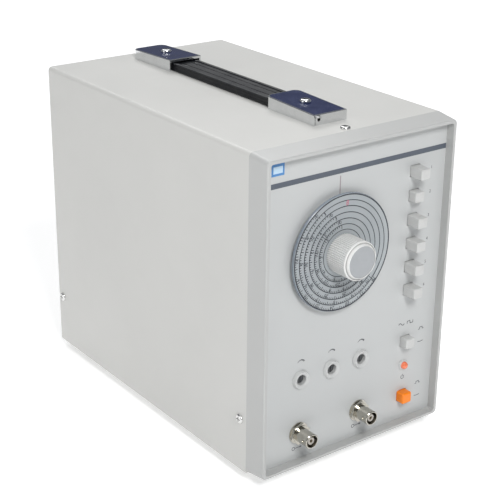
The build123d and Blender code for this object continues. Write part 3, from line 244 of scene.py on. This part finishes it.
def ink(name, colour):
    """Screen-printed ink, slightly uneven and worn thin in spots."""
    m = Material(name)
    thin = m.noise(1600.0, 4.0, 0.65)
    body = m.blend(m.remap(thin, 0.55, 0.8, 0.0, 0.35), colour, lighter(colour, 1.8))
    shine = m.remap(thin, 0.3, 0.8, 0.37, 0.54)
    m.surface(body, shine, m.bump(m.noise(3800.0, 2.0), 0.2, 0.01 * MM))
    return m.material


def navy_gloss_material():
    """Dark blue lacquer, glossy under finger smears; its dark blue is a painted reflection of dark blue
    surroundings in the handle's chrome tops.
    """
    m = Material("navy_gloss")
    smear = m.noise(120.0, 5.0, 0.65, 0.6)
    # Painted reflection: the navy stands in for dark blue surroundings mirrored by the chrome.
    body = m.blend(m.remap(smear, 0.35, 0.8), (0.010, 0.017, 0.070), (0.015, 0.026, 0.100))
    shine = m.remap(smear, 0.3, 0.8, 0.10, 0.24)
    m.surface(body, shine, m.bump(m.noise(500.0, 2.0), 0.2, 0.02 * MM))
    m.constant(Specular_IOR_Level=0.3)
    return m.material


def dial_material():
    """Clear tinted acrylic: faintly cloudy, with fine scratches, and darker past its front face, where the
    rim and skirt carry painted shade.
    """
    m = Material("dial_acrylic")
    cloud = m.noise(60.0, 4.0, 0.6)
    body = m.blend(m.remap(cloud, 0.3, 0.75), (0.490, 0.530, 0.545), (0.540, 0.572, 0.582))
    face_depth, edge_depth = mm(0.08, 0.25)
    axes = m.fill(m.node("ShaderNodeSeparateXYZ"), Vector=m.place)
    # Painted shade: past the front face the disc turns dark blue-grey, standing in for the shadowed gap
    # round the dial.
    painted_edge_shade = m.remap(axes.outputs["Y"], dial_y + face_depth, dial_y + edge_depth)
    body = m.blend(painted_edge_shade, body, (0.30, 0.35, 0.41))
    shine = m.remap(m.noise(300.0), 0.3, 0.8, 0.16, 0.30)
    m.surface(body, shine, m.bump(m.streaks((300.0, 300.0, 5200.0)), 0.15, 0.008 * MM))
    m.constant(Alpha=0.62, Specular_IOR_Level=0.5)
    return m.material


def lamp_material():
    """Tinted epoxy dome, streaked and dimly lit from within."""
    m = Material("lamp_epoxy")
    streak = m.noise(900.0, 3.0)
    mask = m.remap(streak, 0.35, 0.7)
    body = m.blend(mask, (0.80, 0.17, 0.07), (0.90, 0.26, 0.13))
    shine = m.remap(streak, 0.3, 0.7, 0.08, 0.16)
    m.surface(body, shine, m.bump(streak, 0.1, 0.01 * MM))
    m.link(m.blend(mask, (1.0, 0.16, 0.09), (1.0, 0.34, 0.24)), m.shader.inputs["Emission Color"])
    m.constant(Emission_Strength=0.07, Coat_Weight=0.5, Coat_Roughness=0.05)
    return m.material


def board_material():
    """Green solder mask over a pattern of tracks and lands."""
    m = Material("circuit_board")
    bricks = m.node("ShaderNodeTexBrick")
    m.fill(bricks, Vector=m.stretched((180.0, 180.0, 180.0)), Scale=1.0, Mortar_Size=0.06)
    tracks = bricks.outputs["Fac"]
    lands = m.remap(m.cells(260.0), 0.18, 0.22, 1.0, 0.0)
    body = m.blend(tracks, (0.020, 0.085, 0.040), (0.035, 0.140, 0.060))
    body = m.blend(lands, body, (0.45, 0.42, 0.36))
    shine = m.remap(m.noise(400.0), 0.3, 0.7, 0.28, 0.42)
    m.surface(body, shine, m.bump(tracks, 0.3, 0.04 * MM))
    return m.material


def core_material():
    """Varnished laminations, seen as fine stacked lines."""
    m = Material("core_steel", metallic=0.5)
    layers = m.streaks((30.0, 2600.0, 30.0), 2.0, 0.5)
    body = m.blend(m.remap(layers, 0.35, 0.65), (0.06, 0.045, 0.035), (0.16, 0.13, 0.10))
    shine = m.remap(layers, 0.3, 0.7, 0.38, 0.6)
    m.surface(body, shine, m.bump(layers, 0.5, 0.08 * MM))
    return m.material


case_colour = (0.612, 0.609, 0.588)
case_paint = painted("case_paint", case_colour)
tray_paint = painted("tray_paint", lighter(case_colour, 0.97))
rear_paint = painted("rear_paint", lighter(case_colour, 0.98))
bezel_paint = painted("bezel_paint", (0.480, 0.484, 0.477), grain=2600.0, gloss=0.34, wear=0.30)
panel_paint = painted("panel_paint", (0.520, 0.531, 0.530), grain=3200.0, grain_depth=0.02 * MM, gloss=0.40)

white_plastic = plastic("white_plastic", (0.575, 0.577, 0.568), gloss=0.36, scatter=0.05)
# The knob's grooves and recesses get painted shade.
knob_plastic = plastic("knob_plastic", (0.790, 0.792, 0.780), gloss=0.46, dirt=0.10, hollow_shade=0.45)
cap_plastic = plastic("cap_plastic", (0.370, 0.385, 0.402), gloss=0.38)
orange_plastic = plastic("orange_plastic", (0.98, 0.240, 0.004), gloss=0.36, scatter=0.04, dirt=0.05)
switch_plastic = plastic("switch_plastic", (0.22, 0.23, 0.24), gloss=0.5)
ring_plastic = plastic("ring_plastic", (0.56, 0.565, 0.56), gloss=0.38)
# Painted shade: the shafts are near black, standing in for the shadow down in each adjuster's recessed
# hole.
shaft_painted_shade = plastic("shaft_painted_shade", (0.045, 0.048, 0.052), gloss=0.4)
black_plastic = plastic("black_plastic", (0.016, 0.016, 0.018), gloss=0.42, dirt=0.3, edge=0.5)
insert_plastic = plastic("insert_plastic", (0.46, 0.43, 0.39), gloss=0.45)

chrome = plated("chrome", (0.80, 0.81, 0.82), gloss=0.07, haze=0.12)
screw_chrome = plated("screw_chrome", (0.74, 0.74, 0.73), gloss=0.16, haze=0.14)
nickel = plated("nickel", (0.52, 0.50, 0.445), gloss=0.13, haze=0.12, tarnish=(0.32, 0.29, 0.23))
contact_metal = plated("contact_metal", (0.30, 0.25, 0.17), gloss=0.3, haze=0.2)
brass = plated("brass", (0.66, 0.47, 0.20), gloss=0.24, haze=0.2, tarnish=(0.30, 0.20, 0.09))
zinc = plated("zinc", (0.55, 0.55, 0.53), gloss=0.36, haze=0.2, tarnish=(0.42, 0.40, 0.34))
aluminium = plated(
    "aluminium", (0.70, 0.70, 0.71), gloss=0.36, haze=0.16, brushed=(200.0, 6000.0, 6000.0), depth=0.01 * MM
)

strap_rubber = rubber("strap_rubber", (0.008, 0.009, 0.012), gloss=0.34)
foot_rubber = rubber("foot_rubber", (0.02, 0.02, 0.021), gloss=0.6)
navy_gloss = navy_gloss_material()
dial_acrylic = dial_material()
lamp_epoxy = lamp_material()
circuit_board = board_material()
core_steel = core_material()

slate_ink = ink("slate_ink", (0.085, 0.100, 0.128))
mark_ink = ink("mark_ink", (0.070, 0.072, 0.082))
scale_ink = ink("scale_ink", (0.018, 0.022, 0.034))
red_ink = ink("red_ink", (0.42, 0.10, 0.16))
cursor_ink = ink("cursor_ink", (0.30, 0.25, 0.265))
badge_ink = ink("badge_ink", (0.075, 0.235, 0.52))
pale_ink = ink("pale_ink", (0.50, 0.66, 0.80))

# ------------------------------------------------------------------ finishes on the CAD's pieces

RANGE_BUTTONS = range(1, 7)
ADJUSTERS = ("left", "middle", "right")
SOCKETS = ("output_socket_shell", "modulation_socket_shell")

node_materials = {
    "top_cover": case_paint,
    "base_tray": tray_paint,
    "front_bezel": bezel_paint,
    "front_panel": panel_paint,
    "rear_panel": rear_paint,
    "cover_screws": screw_chrome,
    "rear_screws": screw_chrome,
    "inlet_screws": screw_chrome,
    "rubber_feet": foot_rubber,
    "foot_screws": zinc,
    "handle_cap_front": chrome,
    "handle_cap_rear": chrome,
    # The inlays carry the painted reflection of the handle's chrome tops.
    "handle_inlay_front": navy_gloss,
    "handle_inlay_rear": navy_gloss,
    "handle_strap": strap_rubber,
    "handle_screws": chrome,
    "handle_nut_plates": zinc,
    "frequency_dial": dial_acrylic,
    "tuning_knob": knob_plastic,
    "knob_cap": cap_plastic,
    "tuning_shaft": brass,
    "dial_bushing": nickel,
    "capacitor_posts": brass,
    "capacitor_frame": aluminium,
    "capacitor_stator": aluminium,
    "capacitor_rotor": aluminium,
    "mode_button": white_plastic,
    "power_button": orange_plastic,
    "range_switch_bank": switch_plastic,
    "mode_switch": switch_plastic,
    "power_switch": switch_plastic,
    "power_led": lamp_epoxy,
    "led_holder": ring_plastic,
    "adjuster_pots": aluminium,
    "socket_washers": nickel,
    "socket_nuts": nickel,
    "socket_inserts": insert_plastic,
    "socket_contacts": contact_metal,
    "main_board": circuit_board,
    "board_standoffs": brass,
    "shield_can": zinc,
    "transformer": core_steel,
    "inlet_socket": black_plastic,
    "inlet_pins": nickel,
    "fuse_holder": black_plastic,
    "fuse_cap": black_plastic,
}
for number in RANGE_BUTTONS:
    node_materials[f"range_button_{number}"] = white_plastic
for place in ADJUSTERS:
    node_materials[f"adjuster_ring_{place}"] = ring_plastic
    node_materials[f"adjuster_shaft_{place}"] = shaft_painted_shade
for name in SOCKETS:
    node_materials[name] = nickel
for name, node in nodes.items():
    node.data.materials.clear()
    node.data.materials.append(node_materials[name])

# ------------------------------------------------------------------ thin printed marks

PRINT_THICKNESS = 0.04 * MM
PEN = 0.45 * MM
FINE_PEN = 0.4 * MM
ARC_STEP = 2.5  # degrees
FEWEST_ARC_STEPS = 12
FONT_SIZE = 1.4  # of the height that a numeral is asked to have
CURVE_STEPS = 2
SAME_POINT = 0.004  # of that height


class Print:
    """Flat shapes printed on a plane that faces the operator, gathered in one mesh."""

    def __init__(self, name, y, thickness=PRINT_THICKNESS):
        self.name = name
        self.y = y
        self.thickness = thickness
        self.mesh = bmesh.new()

    def shape(self, points):
        """A convex outline of (x, z) points as a thin closed prism."""
        area = sum(a[0] * b[1] - b[0] * a[1] for a, b in zip(points, points[1:] + points[:1]))
        if area < 0:
            points = points[::-1]
        front = [self.mesh.verts.new((x, self.y - self.thickness, z)) for x, z in points]
        back = [self.mesh.verts.new((x, self.y, z)) for x, z in points]
        self.mesh.faces.new(front)
        self.mesh.faces.new(back[::-1])
        for i in range(len(points)):
            j = (i + 1) % len(points)
            self.mesh.faces.new((front[j], front[i], back[i], back[j]))

    def rectangle(self, low, high):
        """Upright, between its lower left and upper right corners."""
        self.shape([(low[0], low[1]), (high[0], low[1]), (high[0], high[1]), (low[0], high[1])])

    def line(self, start, end, width):
        """A straight stroke with square ends."""
        start = Vector(start)
        end = Vector(end)
        along = end - start
        across = Vector((-along.y, along.x)).normalized() * width / 2
        self.shape([start - across, end - across, end + across, start + across])

    def arc(self, centre, radius, width, start=0.0, end=360.0, steps=None):
        """A ring or an arc, angles in degrees anticlockwise from the right."""
        closed = abs(end - start) >= 360.0
        count = steps or max(FEWEST_ARC_STEPS, int(abs(end - start) / ARC_STEP))
        near = radius - width / 2
        far = radius + width / 2
        front_y = self.y - self.thickness
        profile = ((near, front_y), (far, front_y), (far, self.y), (near, self.y))
        loops = []
        for i in range(count if closed else count + 1):
            angle = math.radians(start + (end - start) * i / count)
            right = math.cos(angle)
            up = math.sin(angle)
            corners = [(centre[0] + r * right, y, centre[1] + r * up) for r, y in profile]
            loops.append([self.mesh.verts.new(corner) for corner in corners])
        pairs = list(zip(loops, loops[1:]))
        if closed:
            pairs.append((loops[-1], loops[0]))
        for first, second in pairs:
            for i in range(len(profile)):
                j = (i + 1) % len(profile)
                self.mesh.faces.new((first[i], first[j], second[j], second[i]))
        if not closed:
            self.mesh.faces.new(loops[0][::-1])
            self.mesh.faces.new(loops[-1])

    def text(self, numeral, centre, height, turn=0.0):
        """A numeral, centred, turned anticlockwise by turn degrees."""
        curve = bpy.data.curves.new("glyphs", "FONT")
        curve.body = numeral
        curve.size = height * FONT_SIZE
        curve.align_x = "CENTER"
        curve.align_y = "CENTER"
        curve.resolution_u = CURVE_STEPS
        holder = bpy.data.objects.new("glyphs", curve)
        bpy.context.scene.collection.objects.link(holder)
        bpy.context.view_layer.update()
        evaluated = holder.evaluated_get(bpy.context.evaluated_depsgraph_get())
        flat = bpy.data.meshes.new_from_object(evaluated)
        glyphs = bmesh.new()
        glyphs.from_mesh(flat)
        bmesh.ops.remove_doubles(glyphs, verts=glyphs.verts, dist=height * SAME_POINT)
        raised = bmesh.ops.extrude_face_region(glyphs, geom=glyphs.faces[:])
        top = [item for item in raised["geom"] if isinstance(item, bmesh.types.BMVert)]
        bmesh.ops.translate(glyphs, verts=top, vec=(0, 0, self.thickness))
        upright = Matrix.Rotation(math.radians(90), 4, "X")
        turned = Matrix.Rotation(-math.radians(turn), 4, "Y")
        placed = Matrix.Translation((centre[0], self.y, centre[1]))
        bmesh.ops.transform(glyphs, matrix=placed @ turned @ upright, verts=glyphs.verts)
        bmesh.ops.recalc_face_normals(glyphs, faces=glyphs.faces)
        glyphs.to_mesh(flat)
        glyphs.free()
        self.mesh.from_mesh(flat)
        bpy.data.objects.remove(holder)
        bpy.data.curves.remove(curve)
        bpy.data.meshes.remove(flat)

    def finish(self, body, material):
        """Turn the gathered shapes into one piece that rides a body."""
        bmesh.ops.recalc_face_normals(self.mesh, faces=self.mesh.faces)
        data = bpy.data.meshes.new(self.name)
        self.mesh.to_mesh(data)
        self.mesh.free()
        piece = bpy.data.objects.new(self.name, data)
        bpy.context.scene.collection.objects.link(piece)
        data.materials.append(material)
        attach(piece, body)


# Dark rule under the header
STRIPE_HALF_WIDTH, STRIPE_BOTTOM, STRIPE_TOP = mm(71.3, 188.6, 191.9)
stripe = Print("panel_stripe", panel_y)
stripe.rectangle((-STRIPE_HALF_WIDTH, base_z + STRIPE_BOTTOM), (STRIPE_HALF_WIDTH, base_z + STRIPE_TOP))
stripe.finish("chassis", slate_ink)

# Plain badge: a blue field with a paler plate in it
BADGE_LEFT, BADGE_RIGHT, BADGE_BOTTOM, BADGE_TOP = mm(-66.5, -57.2, 196.2, 203.5)
BADGE_SIDE, BADGE_FOOT, BADGE_HEAD = mm(1.3, 1.5, 1.6)
BADGE_THICKNESS, PLATE_THICKNESS = mm(0.06, 0.1)
badge = Print("panel_badge", panel_y, BADGE_THICKNESS)
badge.rectangle((BADGE_LEFT, base_z + BADGE_BOTTOM), (BADGE_RIGHT, base_z + BADGE_TOP))
badge.finish("chassis", badge_ink)
badge_plate = Print("panel_badge_plate", panel_y, PLATE_THICKNESS)
badge_plate.rectangle(
    (BADGE_LEFT + BADGE_SIDE, base_z + BADGE_BOTTOM + BADGE_FOOT),
    (BADGE_RIGHT - BADGE_SIDE, base_z + BADGE_TOP - BADGE_HEAD),
)
badge_plate.finish("chassis", pale_ink)

# Cursor line above the dial, from behind the dial's disc to just under the stripe
CURSOR_OFFSET, CURSOR_FOOT, CURSOR_TOP, CURSOR_WIDTH = mm(0.3, 11.0, 187.2, 0.7)
cursor_x = dial_centre.x + CURSOR_OFFSET
cursor = Print("cursor_line", panel_y)
cursor.line((cursor_x, dial_centre.z + CURSOR_FOOT), (cursor_x, base_z + CURSOR_TOP), CURSOR_WIDTH)
cursor.finish("chassis", cursor_ink)

# ------------------------------------------------------------------ marks round the controls

marks = Print("panel_marks", panel_y)


def number_mark(number):
    """The button's number, to its right."""
    right, down, height = mm(14.2, 0.4, 2.1)
    middle = centre_of(f"range_button_{number}")
    marks.text(str(number), (middle.x + right, middle.z - down), height)


def button_symbol(out, x, z):
    """Outline of a button standing out of a panel line, or just below it."""
    reach, half_width, rise, dip = mm(2.4, 1.2, 1.4, 0.21)
    level = z + rise if out else z - dip
    marks.line((x - reach, z), (x - half_width, z), PEN)
    marks.line((x + half_width, z), (x + reach, z), PEN)
    marks.line((x - half_width, level), (x + half_width, level), PEN)
    if out:
        marks.line((x - half_width, z), (x - half_width, level), PEN)
        marks.line((x + half_width, z), (x + half_width, level), PEN)


def button_marks(name):
    """Out above and in below, to the right of a latching button."""
    right, up, down = mm(14.3, 4.6, 4.4)
    middle = centre_of(name)
    button_symbol(True, middle.x + right, middle.z + up)
    button_symbol(False, middle.x + right, middle.z - down)


def turn_symbol(place):
    """Growing arc above an adjuster: less on the left, more on the right."""
    up, radius, thinnest, growth = mm(10.5, 3.0, 0.3, 0.9)
    first_angle, pitch, length = 150.0, 12.0, 10.0
    pieces, steps = 10, 3
    middle = centre_of(f"adjuster_ring_{place}")
    for i in range(pieces):
        start = first_angle - pitch * i
        width = thinnest + growth * i / pieces
        marks.arc((middle.x, middle.z + up), radius, width, start - length, start, steps)


def wave_symbol(x, z, square=False):
    """One cycle of a sine or square wave, centred on the point."""
    half_width, half_height = mm(2.5, 0.9)
    steps = 16
    if square:
        outline = [(-1, -1), (-1, 1), (0, 1), (0, -1), (1, -1), (1, 1)]
    else:
        outline = [(2 * t / steps - 1, math.sin(t / steps * 2 * math.pi)) for t in range(steps + 1)]
    points = [(x + across * half_width, z + up * half_height) for across, up in outline]
    for start, end in zip(points, points[1:]):
        marks.line(start, end, PEN)


def power_symbol():
    """Open ring with a stroke, above the power button."""
    up, radius, foot, top = mm(13.5, 1.3, 13.7, 15.6)
    gap_end, gap_start = 125, 415
    middle = centre_of("power_button")
    marks.arc((middle.x, middle.z + up), radius, FINE_PEN, gap_end, gap_start)
    marks.line((middle.x, middle.z + foot), (middle.x, middle.z + top), PEN)


def socket_symbol(name):
    """Ring and arrow under a coaxial socket."""
    left, down, ring_left, radius, tail_left, neck, tip, barb = mm(0.5, 10.8, 3.0, 1.1, 1.8, 2.2, 3.8, 0.8)
    x = centre_of(name).x - left
    z = centre_of(name).z - down
    marks.arc((x - ring_left, z), radius, FINE_PEN)
    marks.line((x - tail_left, z), (x + neck, z), FINE_PEN)
    marks.shape([(x + neck, z - barb), (x + tip, z), (x + neck, z + barb)])


for number in RANGE_BUTTONS:
    number_mark(number)
for name in ("mode_button", "power_button"):
    button_marks(name)
for place in ADJUSTERS:
    turn_symbol(place)
SINE_LEFT, SQUARE_RIGHT, WAVES_UP = mm(3.5, 4.0, 12.5)
mode_middle = centre_of("mode_button")
wave_symbol(mode_middle.x - SINE_LEFT, mode_middle.z + WAVES_UP)
wave_symbol(mode_middle.x + SQUARE_RIGHT, mode_middle.z + WAVES_UP, square=True)
power_symbol()
for name in SOCKETS:
    socket_symbol(name)
marks.finish("chassis", mark_ink)

# ------------------------------------------------------------------ dial scales

# (ring radius, ink width) from the rim inwards, in millimetres
RINGS = (
    (36.9, 0.80),
    (33.3, 0.52),
    (29.7, 0.56),
    (25.8, 0.52),
    (22.0, 0.52),
    (18.4, 0.48),
    (15.0, 0.45),
)
# (radius the ticks stand on, number radius, first angle, last angle, divisions, numbers)
SCALES = (
    (36.9, 35.1, 128, 318, 76, (10, 12, 14, 16, 18, 20, 24, 28, 32, 36)),
    (33.3, 31.5, 118, 312, 68, (3, 4, 5, 6, 7, 8, 9, 10)),
    (29.7, 27.8, 112, 305, 60, (10, 12, 15, 18, 20, 25, 30)),
    (25.8, 23.9, 105, 300, 56, (3, 4, 5, 6, 7, 8, 9, 10)),
    (22.0, 20.2, 100, 292, 50, (10, 12, 14, 16, 20, 25, 30)),
    (18.4, 16.7, 95, 285, 44, (1, 2, 3, 4, 5, 6)),
)
CROWDING = 0.92  # below 1, so divisions close up towards a scale's end
LONG_TICK = 2.1
SHORT_TICK = 1.3
TICKS_PER_LONG = 5
TICK_WIDTH = 0.46 * MM
NUMBER_HEIGHT = 2.4 * MM


def on_dial(radius, angle):
    """A point on the dial, from a radius in millimetres and an angle in degrees."""
    turn = math.radians(angle)
    return (dial_centre.x + radius * MM * math.cos(turn), dial_centre.z + radius * MM * math.sin(turn))


dial_marks = Print("dial_marks", dial_y)
for radius, width in RINGS:
    dial_marks.arc((dial_centre.x, dial_centre.z), radius * MM, width * MM)
for foot, number_radius, first, last, divisions, numbers in SCALES:
    for i in range(divisions + 1):
        angle = first + (last - first) * (i / divisions) ** CROWDING
        length = LONG_TICK if i % TICKS_PER_LONG == 0 else SHORT_TICK
        dial_marks.line(on_dial(foot, angle), on_dial(foot - length, angle), TICK_WIDTH)
    for i, number in enumerate(numbers):
        angle = first + (last - first) * (i / (len(numbers) - 1)) ** CROWDING
        dial_marks.text(str(number), on_dial(number_radius, angle), NUMBER_HEIGHT, angle - 90)

# A bracket across the outer bands, at the lower right
BRACKET_INNER, BRACKET_OUTER, BRACKET_RADIUS = 30.4, 36.2, 33.0
BRACKET_START, BRACKET_END = -43, -24
BRACKET_PEN = 0.3 * MM
dial_marks.line(on_dial(BRACKET_INNER, BRACKET_START), on_dial(BRACKET_OUTER, BRACKET_START), FINE_PEN)
dial_marks.arc(
    (dial_centre.x, dial_centre.z), BRACKET_RADIUS * MM, BRACKET_PEN, BRACKET_START, BRACKET_END
)
dial_marks.finish("tuning", scale_ink)

RED_RADIUS, RED_ANGLE = 31.5, 86
RED_HEIGHT, RED_THICKNESS = mm(3.4, 0.05)
red_mark = Print("dial_red_mark", dial_y, RED_THICKNESS)
red_mark.text("8", on_dial(RED_RADIUS, RED_ANGLE), RED_HEIGHT, RED_ANGLE - 90)
red_mark.finish("tuning", red_ink)

# ------------------------------------------------------------------ floor, lights, camera

FLOOR_REACH = 40.0
FLOOR_GLOW = 0.40
SKY_COLOUR = (0.93, 0.965, 1.0, 1.0)
SKY_STRENGTH = 0.20
CASE_MIDDLE = (0, 0, 0.1)

scene = bpy.context.scene


def make_floor():
    """A flat pale sheet that reaches far past the view."""
    data = bpy.data.meshes.new("studio_floor")
    mesh = bmesh.new()
    corners = ((-1, -1), (1, -1), (1, 1), (-1, 1))
    mesh.faces.new([mesh.verts.new((x * FLOOR_REACH, y * FLOOR_REACH, 0.0)) for x, y in corners])
    mesh.to_mesh(data)
    mesh.free()
    floor = bpy.data.objects.new("studio_floor", data)
    scene.collection.objects.link(floor)
    m = Material("floor_paper", roughness=0.9)
    paper = m.blend(m.remap(m.noise(3.0, 2.0), 0.3, 0.7), (0.80, 0.80, 0.80), (0.82, 0.82, 0.82))
    m.fill(m.shader, Base_Color=paper)
    m.constant(Emission_Color=(1.0, 1.0, 1.0, 1.0), Emission_Strength=FLOOR_GLOW)
    data.materials.append(m.material)


def make_sky():
    """Faint bluish light, the same from all round."""
    scene.world = bpy.data.worlds.new("studio")
    scene.world.use_nodes = True
    background = scene.world.node_tree.nodes["Background"]
    background.inputs["Color"].default_value = SKY_COLOUR
    background.inputs["Strength"].default_value = SKY_STRENGTH


def area_light(name, place, aim, size, power):
    """A rectangular light; places and sizes in metres, power in watts."""
    light = bpy.data.lights.new(name, "AREA")
    light.shape = "RECTANGLE"
    light.size, light.size_y = size
    light.energy = power
    holder = bpy.data.objects.new(name, light)
    holder.location = place
    holder.rotation_mode = "QUATERNION"
    holder.rotation_quaternion = (Vector(aim) - Vector(place)).to_track_quat("-Z", "Y")
    scene.collection.objects.link(holder)


make_floor()
make_sky()
area_light("key_front", place=(-0.38, -1.17, 1.14), aim=CASE_MIDDLE, size=(0.42, 0.42), power=14.8)
area_light("overhead", place=(0.15, 0.1, 1.4), aim=CASE_MIDDLE, size=(0.9, 0.9), power=3.0)
area_light("backdrop", place=(0.9, 1.7, 2.0), aim=(0.75, 1.1, 0.0), size=(2.0, 1.6), power=33.0)
area_light("fill_left", place=(-1.6, 0.1, 0.55), aim=CASE_MIDDLE, size=(1.0, 1.0), power=4.8)
scene.view_settings.view_transform = "Standard"

# The camera stands to the front left, above the case. Its axes point right, up and backwards.
# Lens and sensor are in millimetres, everything else in metres.
CAMERA_LENS = 92.33
CAMERA_SENSOR = 36.0
CAMERA_NEAR = 0.01
CAMERA_FAR = 50.0
CAMERA_RIGHT = Vector((0.80222, -0.59696, 0.01046))
CAMERA_UP = Vector((0.21949, 0.31116, 0.92467))
CAMERA_BACK = Vector((-0.55524, -0.73947, 0.38064))
CAMERA_FROM_BEZEL = Vector((-0.48680, -0.53441, 0.43370))


def place_camera():
    data = bpy.data.cameras.new("camera")
    data.lens = CAMERA_LENS
    data.sensor_width = CAMERA_SENSOR
    data.clip_start = CAMERA_NEAR
    data.clip_end = CAMERA_FAR
    camera = bpy.data.objects.new("camera", data)
    turn = Matrix((CAMERA_RIGHT, CAMERA_UP, CAMERA_BACK)).transposed().to_4x4()
    bezel_foot = Vector((0.0, bezel_low.y, base_z))
    camera.matrix_world = Matrix.Translation(bezel_foot + CAMERA_FROM_BEZEL) @ turn
    scene.collection.objects.link(camera)
    scene.camera = camera


place_camera()
